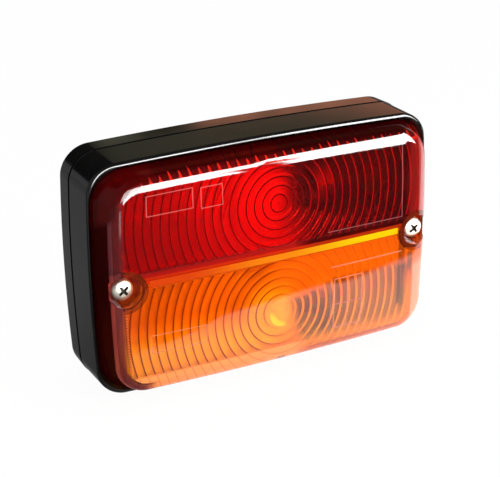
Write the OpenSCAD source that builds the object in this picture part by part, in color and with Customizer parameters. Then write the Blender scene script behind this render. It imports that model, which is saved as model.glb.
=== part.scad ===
// Tail light cluster: a rectangular rear lamp with a red and an amber chamber.
// Millimetres. The mounting face is the plane y = 0 with the origin at its centre, +X runs along
// the lamp, +Z points up and the lens looks along -Y. Inside the facing() module the pieces are
// drawn with their own Z as the depth in front of the mounting face.

/* [Housing] */
// Length of the housing at mid-height
housing_w = 126; // [120:1:140]
// Height of the housing at mid-length
housing_h = 82; // [80:1:92]
// Corner radius of the housing
housing_corner_r = 9.5; // [8:0.5:14]
// How far each side bows outward at its middle
side_bow = 1.3; // [0:0.1:1.5]
// Depth of the rear moulding
base_depth = 8.1; // [7:0.1:9]
// Depth of the housing to the top of its front rim
housing_depth = 24; // [23:0.5:28]
// Thickness of the floor
floor_t = 2.2; // [1.8:0.1:2.6]
// Thickness of the rear moulding's wall
base_wall = 3.9; // [3.5:0.1:4.5]
// Thickness of the front moulding's wall
frame_wall = 2.2; // [1.8:0.1:2.6]
// How much narrower the front moulding is on each side
frame_step = 0.2; // [0:0.1:0.4]
// Radius of the front rim's rounded edge
rim_r = 1.2; // [0.6:0.1:1.4]
// Radius of the rear edge
rear_edge_r = 0.8; // [0.4:0.1:1.2]
// Height of the locating lip above the seam
lip_h = 3; // [2:0.5:4]
// Thickness of the locating lip
lip_t = 1.4; // [1:0.1:1.6]

/* [Seals] */
// Thickness of the strip in the seam
body_seal_t = 0.8; // [0.5:0.1:1.2]
// How deep the strip in the seam lies behind the surface
body_seal_recess = 0.5; // [0.3:0.1:0.8]
// Width of the strip in the seam
body_seal_w = 1.6; // [1:0.1:1.7]
// Thickness of the lens seal
lens_seal_t = 0.8; // [0.5:0.1:1.2]
// Depth of the ledge that carries the lens seal, below the rim
ledge_drop = 2.8; // [2:0.1:3.5]
// Thickness of the ledge
ledge_t = 2; // [1.5:0.1:2.5]
// Width of the ledge, measured inward from the lens skirt
ledge_w = 3; // [2.8:0.1:4]

/* [Lens] */
// Width of the housing's rim beside the lens skirt, on the left and right
lens_margin_x = 1.6; // [1.5:0.1:3]
// Width of the housing's rim above and below the lens skirt
lens_margin_y = 2.6; // [1.5:0.1:3]
// Corner radius of the lens skirt
lens_corner_r = 10.4; // [9:0.1:12]
// How far each side of the skirt leans in up to the shoulder, along the length
skirt_lean_x = 3.2; // [1:0.1:4]
// How far the top and the bottom of the skirt lean in up to the shoulder
skirt_lean_y = 0.9; // [0.6:0.1:2]
// Depth of the skirt from its foot to the shoulder
skirt_depth = 7.6; // [6.5:0.1:9]
// How far the rounded shoulder runs in from the edge
shoulder_run = 5; // [3:0.5:7]
// Rise of the rounded shoulder
shoulder_rise = 2.8; // [2:0.1:3.4]
// Rise of the front face from the shoulder to the middle
crown = 1; // [0.2:0.1:1.6]
// Wall of the skirt
lens_wall = 2.3; // [1.8:0.1:2.6]
// Thickness of the front where the shoulder ends
front_t = 2.8; // [2.2:0.1:3.2]
// Height of the line where the two colours meet, above mid-height
parting_up = 1.6; // [1.3:0.1:2.4]
// Thickness of the bright middle rib
rib_t = 2.4; // [1.8:0.1:2.6]
// Distance from each lens screw to the end of the middle rib
rib_gap = 8; // [7.5:0.5:14]
// How far the middle rib reaches behind the front's inner face
rib_drop = 6; // [3:0.5:7]

/* [Ring ridges] */
// Distance from one ring to the next
ring_pitch = 3; // [2.5:0.1:4]
// Height of each ridge
ring_h = 0.7; // [0.3:0.1:0.9]
// Radius of the small boss in each ring centre
boss_r = 1.8; // [1.2:0.1:2.2]
// How far that boss stands out past the ridges
boss_extra = 0.2; // [0:0.05:0.3]
// How far the ring centres lie to the right of the lens's middle
ring_x = 1; // [0:0.1:2]
// Radius of the largest ring
ring_reach = 57; // [50:1:60]

/* [Lens screws] */
// Distance from the end of the skirt to each lens screw
screw_inset = 7.4; // [7:0.1:9]
// Radius of the screw heads
screw_head_r = 3.6; // [3.2:0.1:4]
// Height of the screw heads
screw_head_h = 2.3; // [1.8:0.1:2.6]
// Radius of the screw shanks
screw_r = 1.7; // [1.4:0.05:2]
// Length of the screw shanks
screw_len = 18; // [12:0.5:20]
// Radius of the round pockets around the heads
pocket_r = 5.4; // [5:0.1:6]
// Thickness of the wall around each pocket
pocket_wall = 1.8; // [1.2:0.1:2]
// Depth of the pockets below the shoulder's inner end
pocket_depth = 4; // [3:0.1:4.5]
// Thickness of the pocket's bottom
pocket_floor_t = 2; // [1.5:0.1:2.5]
// Radius of the posts that take the screws
post_r = 4; // [3.4:0.1:4.2]
// Radius of the round foot under each pocket
pocket_foot_r = 3.4; // [2.8:0.1:4]

/* [Reflectors] */
// Thickness of the reflector trays
reflector_t = 0.8; // [0.5:0.1:1]
// Depth of the reflector trays
reflector_depth = 19.8; // [17:0.1:20]
// Gap between the trays and the ledge of the housing
reflector_gap = 1.4; // [1:0.1:2]
// Where the trays end on the right, from the middle
reflector_right = 19.5; // [18:0.5:21]
// Distance of the trays from mid-height, at their open side
reflector_inner = 1.6; // [1.4:0.1:2]
// How far the side next to mid-height leans, from the open side to the back
roof_lean = 7.4; // [6:0.1:8]
// How far the other sides lean
side_lean = 2.4; // [1:0.1:4]

/* [Bulbs] */
// Height of each bulb's axis above the mounting face
bulb_depth = 16; // [15.9:0.1:16.2]
// Radius of the glass
glass_r = 12.5; // [11:0.1:12.8]
// Thickness of the glass
glass_t = 0.8; // [0.5:0.1:1]
// Radius of the cap
cap_r = 7.5; // [7.4:0.05:7.6]
// Distance from the filament to the front edge of the cap
cap_start = 17.5; // [16.5:0.1:18.5]
// Length of the cap
cap_len = 20; // [18:0.1:20.5]
// Wall of the cap
cap_t = 0.35; // [0.25:0.05:0.5]
// Distance from the filament to the bayonet pins
pin_from_filament = 31.8; // [31:0.1:32.5]
// Radius of the bayonet pins
pin_r = 1; // [0.8:0.1:1.1]
// How far the pins stand out of the cap
pin_out = 0.9; // [0.6:0.1:1]
// How far the contacts stand out of the insulator
contact_h = 1.2; // [0.8:0.1:1.4]
// Length of each filament coil
coil_len = 5; // [3:0.5:6]

/* [Sockets] */
// Wall of the socket shells
shell_t = 0.5; // [0.4:0.05:0.6]
// Clearance around the bulb's cap
shell_gap = 0.15; // [0.1:0.01:0.2]
// Length of the socket shells
shell_len = 22; // [21.5:0.1:24]
// Distance from the filament to the mouth of the shell
shell_start = 24; // [23:0.1:25]
// Thickness of the contact discs
disc_t = 1.2; // [1:0.1:1.5]
// Thickness of the disc's contact heads
pad_t = 0.4; // [0.3:0.1:0.6]
// Distance between the two contacts of the upper socket
contact_pitch = 5; // [4.4:0.1:5.6]
// Thickness of the bracket
bracket_t = 1; // [0.8:0.1:1.5]
// Distance of the bracket's plate from the middle
bracket_x = 36; // [35:0.5:37]
// Radius of the bracket around each socket
bracket_r = 10.8; // [10:0.1:11]
// Length of the bracket's foot
foot_len = 10; // [9:0.5:11]
// Width of the bracket's foot
foot_w = 18; // [16:0.5:20]

/* [Wiring] */
// Radius of the inner wires
lead_r = 0.8; // [0.6:0.05:0.9]
// Distance between neighbouring wires in the connector
way_pitch = 2.7; // [2.6:0.05:2.8]
// Length of the connector block
block_len = 26; // [20:1:28]
// Height of the connector block
block_h = 6.8; // [6.4:0.1:7]
// Where the connector block's right end lies
block_right = 12; // [9:0.5:13]

/* [Fixing] */
// Distance between the two fixing studs
stud_spacing = 50; // [46:0.5:52]
// Radius of the fixing studs
stud_r = 2.5; // [2:0.5:3]
// How far the studs stand out behind the mounting face
stud_out = 18; // [10:1:25]
// Radius of the studs' knurled neck in the base
stud_neck_r = 2.9; // [2.7:0.05:2.95]
// Width across the flats of the stud heads
hex_af = 8; // [7:0.5:8.5]
// Height of the stud heads
stud_head_h = 3.5; // [3:0.1:3.8]
// Depth of the shallow recess around each stud in the mounting face
stud_recess = 0.8; // [0.6:0.1:1.2]
// Height of the floor bosses that carry the stud heads, from the mounting face
stud_boss_h = 6.4; // [5.8:0.1:6.6]
// Where the cable bush lies, to the left of the middle
bush_x = 41; // [39:0.5:42]
// Radius of the cable hole in the bush
cable_r = 2.6; // [2:0.1:3]
// Radius of the bush in the floor
bush_neck_r = 5; // [4.5:0.1:5.4]
// Radius of the bush's two flanges
bush_flange_r = 6.5; // [6:0.1:7]
// Thickness of the bush's outer flange, sunk in the floor
bush_sunk = 1.2; // [0.8:0.1:1.4]

/* [Hidden] */
$fn = 48;

// Clearances and the small overlap that joins the solids of one piece
fit = 0.1;
weld = 0.2;
cut = 1;

// Steps on each corner arc and along each side of an outline
corner_steps = 8;
side_steps = 7;

// Depths, measured from the mounting face
seam_top = base_depth + body_seal_t;
ledge_top = housing_depth - ledge_drop;
skirt_foot = ledge_top + lens_seal_t;
shoulder_z = skirt_foot + skirt_depth;
front_z = shoulder_z + shoulder_rise;
inner_front_z = front_z - front_t;
pocket_z = front_z - pocket_depth;
pocket_under_z = pocket_z - pocket_floor_t;
post_top = skirt_foot + 1;

// Outlines of the housing
frame_w = housing_w - 2*frame_step;
frame_h = housing_h - 2*frame_step;
frame_corner_r = housing_corner_r - frame_step;
skirt_w = housing_w - 2*lens_margin_x;
skirt_h = housing_h - 2*lens_margin_y;
skirt_corner_r = lens_corner_r;

// Each ring and each bulb lies in the middle of its chamber
ring_up = skirt_h/4;
screw_spacing = skirt_w - 2*screw_inset;
rib_len = screw_spacing - 2*rib_gap;
reflector_left = skirt_w/2 - ledge_w - reflector_gap;
reflector_outer = skirt_h/2 - ledge_w - reflector_gap;

// Bulbs and sockets
insulator_start = cap_start + cap_len - 1;
insulator_t = 2;
contact_end = insulator_start + insulator_t + contact_h;
shell_r = cap_r + shell_gap;
shell_out_r = shell_r + shell_t;
shell_end = shell_start + shell_len;
disc_start = contact_end + pad_t;
disc_end = disc_start + disc_t;
disc_r = shell_r - 0.25;
contact_r = 1.5;
pad_shank_r = 0.8;
neck_hole_r = 9.2;
spring_wire_r = 0.35;
spring_r = disc_r - spring_wire_r - 0.6;
shell_back_hole_r = 5;

// Fixing
washer_t = 1;
washer_r = 5;
stud_boss_r = 6.3;
stud_recess_r = 4.9;
neck_start = 0.3;
rivet_r = 1.5;
rivet_head_r = 2.7;
rivet_head_h = 1.2;
rivet_tail_r = 2.6;
rivet_tail_h = 0.8;
rivet_pitch = foot_w - 7;
rivet_x = bracket_x + bracket_t + foot_len/2;
peg_r = 1.2;
peg_xs = [-38, 9];

// Connector
way_ys = [for (i = [0:3]) (i - 1.5)*way_pitch];
tube_z = floor_t + 3;
tube_out_r = 1.25;
tube_bore_r = lead_r + 0.05;
terminal_screw_r = 1.1;

// Points of a rounded rectangle, anticlockwise from its right side
function corner_point(w, h, r, k, a) =
    let (sx = (k == 0 || k == 3) ? 1 : -1, sy = (k < 2) ? 1 : -1)
    [sx*(w/2 - r) + r*cos(90*k + a), sy*(h/2 - r) + r*sin(90*k + a)];

function rounded(w, h, r, steps = 1) = [
    for (k = [0:3]) each concat(
        [for (i = [0:corner_steps]) corner_point(w, h, r, k, 90*i/corner_steps)],
        [for (j = [1:1:steps - 1])
            let (a = corner_point(w, h, r, k, 90), b = corner_point(w, h, r, (k + 1)%4, 0))
            a + (b - a)*j/steps]
    )
];

// The same outline with its four sides bowed outward
function pillow(w, h, r, bow = side_bow) = [
    for (p = rounded(w, h, r, side_steps))
        [p.x*(1 - 2*bow/w*pow(2*p.y/h, 2)), p.y*(1 - 2*bow/h*pow(2*p.x/w, 2))]
];

// The outline set in by t
function inset(w, h, r, t) = pillow(w - 2*t, h - 2*t, max(r - t, 0.4));

// A solid through a stack of outlines with the same number of points
module loft(rings, heights) {
    n = len(rings[0]);
    top = len(rings) - 1;
    points = [for (i = [0:top]) for (p = rings[i]) [p.x, p.y, heights[i]]];
    side_faces = [
        for (i = [0:top - 1]) for (j = [0:n - 1])
            let (a = i*n + j, b = i*n + (j + 1)%n, c = a + n, d = b + n)
            each [[a, c, d], [a, d, b]]
    ];
    bottom_face = [for (j = [0:n - 1]) j];
    top_face = [for (j = [n - 1:-1:0]) top*n + j];
    polyhedron(points, concat(side_faces, [bottom_face, top_face]));
}

module slab(outline, z0, z1) {
    translate([0, 0, z0])
        linear_extrude(z1 - z0)
            polygon(outline);
}

module ring_slab(outer, inner, z0, z1) {
    difference() {
        slab(outer, z0, z1);
        slab(inner, z0 - cut, z1 + cut);
    }
}

// Turns a piece drawn with its depth along Z to face along -Y
module facing() {
    rotate([90, 0, 0])
        children();
}

// Puts a piece drawn along Z on a bulb's axis, with Z running to the right
module along_bulb(up) {
    translate([0, up, bulb_depth])
        rotate([0, 90, 0])
            children();
}

module at_screws() {
    for (side = [-1, 1])
        translate([side*screw_spacing/2, 0, 0])
            children();
}

module at_studs() {
    for (side = [-1, 1])
        translate([side*stud_spacing/2, 0, 0])
            children();
}

module at_rivets() {
    for (side = [-1, 1])
        translate([rivet_x, side*rivet_pitch/2, 0])
            children();
}

module at_pegs() {
    for (x = peg_xs)
        for (side = [-1, 1])
            translate([x, side*ring_up, 0])
                children();
}

// Rear moulding
module rear_base() {
    lip_w = frame_w - 2*frame_wall - 2*fit;
    lip_h_out = frame_h - 2*frame_wall - 2*fit;
    lip_r = frame_corner_r - frame_wall - fit;
    color("#1b1b1e")
    facing()
    difference() {
        union() {
            difference() {
                loft(
                    [
                        inset(housing_w, housing_h, housing_corner_r, rear_edge_r),
                        inset(housing_w, housing_h, housing_corner_r, 0.3*rear_edge_r),
                        pillow(housing_w, housing_h, housing_corner_r),
                        pillow(housing_w, housing_h, housing_corner_r)
                    ],
                    [0, 0.3*rear_edge_r, rear_edge_r, base_depth]
                );
                slab(inset(housing_w, housing_h, housing_corner_r, base_wall), floor_t, base_depth + cut);
            }
            ring_slab(
                pillow(lip_w, lip_h_out, lip_r),
                inset(lip_w, lip_h_out, lip_r, lip_t),
                base_depth - weld, base_depth + lip_h
            );
            at_screws()
                translate([0, 0, floor_t - weld])
                    cylinder(r = post_r, h = post_top - floor_t + weld);
            at_studs()
                translate([0, 0, floor_t - weld])
                    cylinder(r = stud_boss_r, h = stud_boss_h - floor_t + weld);
            at_pegs()
                translate([0, 0, floor_t - weld])
                    cylinder(r = peg_r, h = reflector_t + 0.4 + weld);
        }
        at_screws()
            translate([0, 0, post_top - screw_len + 2])
                cylinder(r = screw_r + 0.05, h = screw_len);
        at_studs() {
            translate([0, 0, -cut])
                cylinder(r = stud_neck_r + 0.03, h = stud_boss_h + 2*cut);
            translate([0, 0, -cut])
                cylinder(r = stud_recess_r, h = stud_recess + cut);
        }
        at_rivets() {
            translate([0, 0, -cut])
                cylinder(r = rivet_r, h = floor_t + 2*cut);
            translate([0, 0, -cut])
                cylinder(r = rivet_tail_r, h = rivet_tail_h + cut);
        }
        translate([-bush_x, 0, -cut]) {
            cylinder(r = bush_neck_r, h = floor_t + 2*cut);
            cylinder(r = bush_flange_r + fit, h = bush_sunk + cut);
        }
    }
}

module body_seal() {
    color("#0c0c0d")
    facing()
    ring_slab(
        inset(housing_w, housing_h, housing_corner_r, body_seal_recess),
        inset(housing_w, housing_h, housing_corner_r, body_seal_recess + body_seal_w),
        base_depth, seam_top
    );
}

// Front moulding with the rounded rim and the ledge for the lens seal
module housing_frame() {
    rim_start = housing_depth - rim_r;
    rim_steps = 4;
    rim_angles = [for (i = [0:rim_steps]) 90*i/rim_steps];
    color("#17171a")
    facing()
    difference() {
        loft(
            concat(
                [pillow(frame_w, frame_h, frame_corner_r)],
                [for (a = rim_angles) inset(frame_w, frame_h, frame_corner_r, rim_r*(1 - cos(a)))]
            ),
            concat([seam_top], [for (a = rim_angles) rim_start + rim_r*sin(a)])
        );
        slab(inset(frame_w, frame_h, frame_corner_r, frame_wall), seam_top - cut, ledge_top - ledge_t);
        slab(inset(skirt_w, skirt_h, skirt_corner_r, ledge_w), seam_top, housing_depth + cut);
        slab(inset(skirt_w, skirt_h, skirt_corner_r, -fit), ledge_top, housing_depth + cut);
        at_screws()
            translate([0, 0, seam_top])
                cylinder(r = post_r + 0.3, h = housing_depth);
    }
}

module lens_seal() {
    color("#101011")
    facing()
    difference() {
        ring_slab(
            pillow(skirt_w, skirt_h, skirt_corner_r),
            inset(skirt_w, skirt_h, skirt_corner_r, lens_wall + 0.3),
            ledge_top, skirt_foot
        );
        at_screws()
            translate([0, 0, ledge_top - cut])
                cylinder(r = post_r + 0.3, h = 3*cut);
    }
}

// Outline of the lens at the shoulder, set in by t
function shoulder_outline(t) = inset(
    skirt_w - 2*skirt_lean_x, skirt_h - 2*skirt_lean_y, skirt_corner_r - skirt_lean_y, t
);

// Outer surface of the lens: skirt, rounded shoulder and crowned front
module lens_body() {
    shoulder_steps = 6;
    shoulder_angles = [for (i = [0:shoulder_steps]) 90*i/shoulder_steps];
    crown_run = skirt_h/2 - skirt_lean_y - shoulder_run - 2;
    crown_steps = 6;
    crown_parts = [for (i = [1:crown_steps]) i/crown_steps];
    loft(
        concat(
            [pillow(skirt_w, skirt_h, skirt_corner_r)],
            [for (a = shoulder_angles) shoulder_outline(shoulder_run*(1 - cos(a)))],
            [for (p = crown_parts) shoulder_outline(shoulder_run + p*crown_run)]
        ),
        concat(
            [skirt_foot],
            [for (a = shoulder_angles) shoulder_z + shoulder_rise*sin(a)],
            [for (p = crown_parts) front_z + crown*(1 - pow(1 - p, 2))]
        )
    );
}

// Hollow behind the front face
module lens_hollow() {
    bend = shoulder_rise/2;
    loft(
        [
            inset(skirt_w, skirt_h, skirt_corner_r, lens_wall),
            shoulder_outline(lens_wall),
            shoulder_outline(lens_wall + bend)
        ],
        [skirt_foot - cut, inner_front_z - bend, inner_front_z]
    );
}

// Saw-tooth rings that hang behind the front's inner face, with their centre at the origin
module ring_ridges() {
    teeth = floor((ring_reach - ring_pitch)/ring_pitch);
    steep = 0.3;
    profile = concat(
        [[0, weld], [0, -ring_h], [boss_r, -ring_h - boss_extra], [boss_r + 0.4, -ring_h], [boss_r + 0.6, 0]],
        [for (i = [1:teeth]) let (r = i*ring_pitch)
            each [[r, 0], [r + steep, -ring_h], [r + ring_pitch - steep, -0.1]]],
        [[(teeth + 1)*ring_pitch, 0], [(teeth + 1)*ring_pitch, weld]]
    );
    rotate_extrude($fn = 96)
        polygon(profile);
}

// Ridges of one chamber, kept inside the front's inner face
module chamber_ridges(side) {
    near = parting_up + 0.6;
    intersection() {
        translate([ring_x, side*ring_up, inner_front_z])
            ring_ridges();
        slab(shoulder_outline(lens_wall + shoulder_rise/2 + 0.2), inner_front_z - 2, inner_front_z + 2);
        translate([-housing_w/2, side > 0 ? near : -housing_h, 0])
            cube([housing_w, housing_h - near, 2*housing_depth]);
    }
}

module pocket_block() {
    at_screws() {
        translate([0, 0, pocket_under_z])
            cylinder(r = pocket_r + pocket_wall, h = front_z + crown - pocket_under_z);
        translate([0, 0, post_top + 0.05])
            cylinder(r = pocket_foot_r, h = pocket_under_z - post_top + weld);
    }
}

module pocket_cuts() {
    at_screws() {
        translate([0, 0, pocket_z])
            cylinder(r = pocket_r, h = 2*pocket_depth);
        translate([0, 0, post_top - cut])
            cylinder(r = screw_r + 0.2, h = pocket_z - post_top + 2*cut);
    }
}

module lens_red() {
    color([0.62, 0.02, 0.02, 0.85])
    facing()
    difference() {
        union() {
            difference() {
                lens_body();
                lens_hollow();
            }
            chamber_ridges(1);
        }
        translate([-housing_w, -2*housing_h + parting_up, 0])
            cube([2*housing_w, 2*housing_h, 2*housing_depth]);
        at_screws()
            translate([0, 0, pocket_under_z - 0.05])
                cylinder(r = pocket_r + pocket_wall + 0.05, h = housing_depth);
    }
}

module lens_amber() {
    color([0.95, 0.42, 0.05, 0.85])
    facing()
    difference() {
        union() {
            difference() {
                lens_body();
                lens_hollow();
                translate([-housing_w, parting_up, 0])
                    cube([2*housing_w, 2*housing_h, 2*housing_depth]);
            }
            chamber_ridges(-1);
            intersection() {
                lens_body();
                pocket_block();
            }
            translate([-rib_len/2, -rib_t/2, inner_front_z - rib_drop])
                cube([rib_len, rib_t, rib_drop + weld]);
        }
        pocket_cuts();
    }
}

module lens_screws() {
    color("#cfc8ba")
    facing()
    at_screws()
    difference() {
        union() {
            translate([0, 0, pocket_z])
                rotate_extrude()
                    polygon(concat(
                        [[0, 0], [screw_head_r, 0], [screw_head_r, 0.4*screw_head_h]],
                        [for (a = [15:15:75])
                            [screw_head_r*cos(a), screw_head_h*(0.4 + 0.6*sin(a))]],
                        [[0, screw_head_h]]
                    ));
            translate([0, 0, pocket_z - screw_len])
                cylinder(r = screw_r, h = screw_len + weld);
        }
        for (turn = [0, 90])
            rotate([0, 0, turn + 45])
                translate([-0.62*screw_head_r, -0.35, pocket_z + 0.35*screw_head_h])
                    cube([1.24*screw_head_r, 0.7, screw_head_h]);
    }
}

// Metallised tray of one chamber
module reflector(side) {
    w_front = reflector_left + reflector_right;
    h_front = reflector_outer - reflector_inner;
    w_back = w_front - 2*side_lean;
    h_back = h_front - roof_lean - side_lean;
    up_front = (reflector_outer + reflector_inner)/2;
    up_back = up_front + (roof_lean - side_lean)/2;
    mid_x = (reflector_right - reflector_left)/2;
    corner = 8;
    back_z = floor_t;
    front_edge = back_z + reflector_depth;
    function tray_ring(w, h, up, t) = [
        for (p = rounded(w - 2*t, h - 2*t, corner - t)) [p.x + mid_x, side*(p.y + up)]
    ];
    function turned(ring) = side > 0 ? ring : [for (j = [len(ring) - 1:-1:0]) ring[j]];
    facing()
    difference() {
        loft(
            [turned(tray_ring(w_back, h_back, up_back, 0)), turned(tray_ring(w_front, h_front, up_front, 0))],
            [back_z, front_edge]
        );
        loft(
            [
                turned(tray_ring(w_back, h_back, up_back, reflector_t)),
                turned(tray_ring(w_front, h_front, up_front, reflector_t)),
                turned(tray_ring(w_front, h_front, up_front, reflector_t))
            ],
            [back_z + reflector_t, front_edge, front_edge + cut]
        );
        along_bulb(side*ring_up)
            translate([0, 0, cap_start - 6])
                cylinder(r = neck_hole_r, h = 12);
        at_pegs()
            translate([0, 0, back_z - cut])
                cylinder(r = peg_r + fit, h = reflector_t + 2*cut);
        at_screws()
            cylinder(r = post_r + 0.6, h = 2*housing_depth);
    }
}

module upper_reflector() {
    color("#d8dadc")
    reflector(1);
}

module lower_reflector() {
    color("#d8dadc")
    reflector(-1);
}

// Glass envelope with the glass stem that carries the wires
module bulb_glass(up) {
    neck_r = cap_r - cap_t - 0.05;
    meet = 55;
    function skin(r, neck) = concat(
        [for (a = [0:10:90 + meet - 5]) [r*sin(a), -r*cos(a)]],
        [[r*sin(90 + meet), -r*cos(90 + meet)], [neck, cap_start - 1], [neck, cap_start + 2]]
    );
    inside = skin(glass_r - glass_t, neck_r - glass_t);
    color([0.9, 0.93, 0.95, 0.35])
    facing()
    along_bulb(up) {
        rotate_extrude()
            polygon(concat(
                skin(glass_r, neck_r),
                [for (i = [len(inside) - 1:-1:0]) inside[i]]
            ));
        translate([0, 0, cap_start - 8])
            cylinder(r1 = 1.6, r2 = 2.6, h = 9);
        translate([0, 0, cap_start + 1])
            cylinder(r = neck_r - glass_t + 0.3, h = 1);
    }
}

// Wires and coils: each coil runs across the axis between its two wires
module bulb_wires(up, coil_places) {
    wire_r = 0.3;
    coil_r = 0.5;
    wire_end = cap_start - 8;
    color("#8a8a86")
    facing()
    along_bulb(up)
    for (place = coil_places) {
        translate([place.x, -coil_len/2, place.y])
            rotate([-90, 0, 0])
                cylinder(r = coil_r, h = coil_len, $fn = 24);
        for (end = [-1, 1])
            translate([place.x, end*(coil_len/2 - 2*wire_r), place.y])
                cylinder(r = wire_r, h = wire_end - place.y, $fn = 24);
        translate([place.x, -coil_len/2, wire_end - 0.8])
            rotate([-90, 0, 0])
                cylinder(r = 0.6, h = coil_len, $fn = 24);
    }
}

module bulb_cap(up, pin_offset) {
    color("#c9c3b4")
    facing()
    along_bulb(up)
    union() {
        difference() {
            translate([0, 0, cap_start])
                cylinder(r = cap_r, h = cap_len);
            translate([0, 0, cap_start - cut])
                cylinder(r = cap_r - cap_t, h = cap_len + 2*cut);
        }
        for (side = [-1, 1])
            translate([0, side*(cap_r - cap_t/2), pin_from_filament + (side > 0 ? 0 : -pin_offset)])
                rotate([-90*side, 0, 0])
                    cylinder(r = pin_r, h = pin_out + cap_t/2);
    }
}

module bulb_insulator(up) {
    color("#23201f")
    facing()
    along_bulb(up)
    translate([0, 0, insulator_start])
        cylinder(r1 = cap_r - cap_t - 0.02, r2 = cap_r - cap_t - 1, h = insulator_t);
}

module bulb_contacts(up, places) {
    color("#b9b9b4")
    facing()
    along_bulb(up)
    for (y = places)
        translate([0, y, insulator_start + insulator_t])
            cylinder(r = contact_r, h = contact_h);
}

module stop_bulb_glass() { bulb_glass(ring_up); }
module stop_bulb_cap() { bulb_cap(ring_up, 3); }
module stop_bulb_filaments() { bulb_wires(ring_up, [[0, 0], [-2.6, -1.5]]); }
module stop_bulb_insulator() { bulb_insulator(ring_up); }
module stop_bulb_contacts() { bulb_contacts(ring_up, [-contact_pitch/2, contact_pitch/2]); }
module turn_bulb_glass() { bulb_glass(-ring_up); }
module turn_bulb_cap() { bulb_cap(-ring_up, 0); }
module turn_bulb_filament() { bulb_wires(-ring_up, [[0, 0]]); }
module turn_bulb_insulator() { bulb_insulator(-ring_up); }
module turn_bulb_contact() { bulb_contacts(-ring_up, [0]); }

// J-shaped slot for one pin: the way in, the turn and the seat
module pin_slot(side, pin) {
    slot_w = 2*pin_r + 0.4;
    turns = [-16, -8, 0];
    starts = [shell_start - cut, pin - 0.9, pin - 1.2];
    ends = [pin + 1.2, pin + 1.1, pin + 1.3];
    for (i = [0:2])
        rotate([0, 0, turns[i]])
            translate([-slot_w/2, side > 0 ? 0 : -2*cap_r, starts[i]])
                cube([slot_w, 2*cap_r, ends[i] - starts[i]]);
}

// Bayonet shell with a slot for each pin of the bulb
module socket_shell(up, pin_offset) {
    bead_w = 0.6;
    color("#aab0b4")
    facing()
    along_bulb(up)
    difference() {
        union() {
            translate([0, 0, shell_start])
                cylinder(r = shell_out_r, h = shell_len);
            translate([0, 0, bracket_x - bead_w])
                cylinder(r = shell_out_r + 0.8, h = bead_w);
        }
        translate([0, 0, shell_start - cut])
            cylinder(r = shell_r, h = shell_len - shell_t + cut);
        translate([0, 0, shell_start])
            cylinder(r = shell_back_hole_r, h = shell_len + cut);
        for (side = [-1, 1])
            pin_slot(side, pin_from_filament + (side > 0 ? 0 : -pin_offset));
    }
}

module upper_socket() { socket_shell(ring_up, 3); }
module lower_socket() { socket_shell(-ring_up, 0); }

module contact_disc(up, places) {
    color("#6b4a2b")
    facing()
    along_bulb(up)
    difference() {
        translate([0, 0, disc_start])
            cylinder(r = disc_r, h = disc_t);
        for (y = places)
            translate([0, y, disc_start - cut])
                cylinder(r = pad_shank_r + 0.02, h = disc_t + 2*cut);
    }
}

module disc_contacts(up, places) {
    color("#c7a24a")
    facing()
    along_bulb(up)
    for (y = places) {
        translate([0, y, contact_end])
            cylinder(r = contact_r + 0.3, h = pad_t);
        translate([0, y, disc_start - 0.1])
            cylinder(r = pad_shank_r, h = disc_t + 0.3);
    }
}

module upper_contact_disc() { contact_disc(ring_up, [-contact_pitch/2, contact_pitch/2]); }
module lower_contact_disc() { contact_disc(-ring_up, [0]); }
module upper_disc_contacts() { disc_contacts(ring_up, [-contact_pitch/2, contact_pitch/2]); }
module lower_disc_contact() { disc_contacts(-ring_up, [0]); }

// A tube along a list of points, with its ends cut square
function unit(v) = v/norm(v);
function along(path, i) = unit(path[min(i + 1, len(path) - 1)] - path[max(i - 1, 0)]);
function across(d) = unit(cross(d, abs(d.z) < 0.8 ? [0, 0, 1] : [1, 0, 0]));

module tube(path, r, sides = 8) {
    n = len(path);
    points = [
        for (i = [0:n - 1])
            let (d = along(path, i), u = across(d), v = cross(d, u))
            for (j = [0:sides - 1]) path[i] + r*(cos(360*j/sides)*u + sin(360*j/sides)*v)
    ];
    side_faces = [
        for (i = [0:n - 2]) for (j = [0:sides - 1])
            let (a = i*sides + j, b = i*sides + (j + 1)%sides, c = a + sides, d = b + sides)
            each [[a, c, d], [a, d, b]]
    ];
    start_face = [for (j = [0:sides - 1]) j];
    end_face = [for (j = [sides - 1:-1:0]) (n - 1)*sides + j];
    polyhedron(points, concat(side_faces, [start_face, end_face]));
}

// Coil spring behind the contact disc, drawn along Z
module socket_spring(up) {
    turns = 3;
    steps = 18;
    z0 = disc_end + spring_wire_r + 0.02;
    z1 = shell_end - shell_t - spring_wire_r - 0.02;
    path = [
        for (i = [0:turns*steps])
            let (a = 360*i/steps)
            [spring_r*cos(a), spring_r*sin(a), z0 + (z1 - z0)*i/(turns*steps)]
    ];
    color("#9a9da0")
    facing()
    along_bulb(up)
    tube(path, spring_wire_r, 6);
}

module upper_socket_spring() { socket_spring(ring_up); }
module lower_socket_spring() { socket_spring(-ring_up); }

// Folded steel plate that carries both sockets, with its foot on the floor
module socket_bracket() {
    window_w = 4*way_pitch + 2.2;
    window_top = 14.5;
    color("#b4b8bb")
    facing()
    difference() {
        union() {
            for (side = [-1, 1])
                along_bulb(side*ring_up)
                    translate([0, 0, bracket_x])
                        cylinder(r = bracket_r, h = bracket_t);
            translate([bracket_x, -ring_up, floor_t])
                cube([bracket_t, 2*ring_up, bulb_depth - floor_t + 5]);
            translate([bracket_x, -foot_w/2, floor_t])
                cube([bracket_t + foot_len, foot_w, bracket_t]);
        }
        for (side = [-1, 1])
            along_bulb(side*ring_up)
                translate([0, 0, bracket_x - cut])
                    cylinder(r = shell_out_r + 0.02, h = bracket_t + 2*cut);
        translate([bracket_x - cut, -window_w/2, floor_t + bracket_t])
            cube([bracket_t + 2*cut, window_w, window_top - floor_t - bracket_t]);
        at_rivets()
            cylinder(r = rivet_r, h = floor_t + 2*bracket_t);
    }
}

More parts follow.
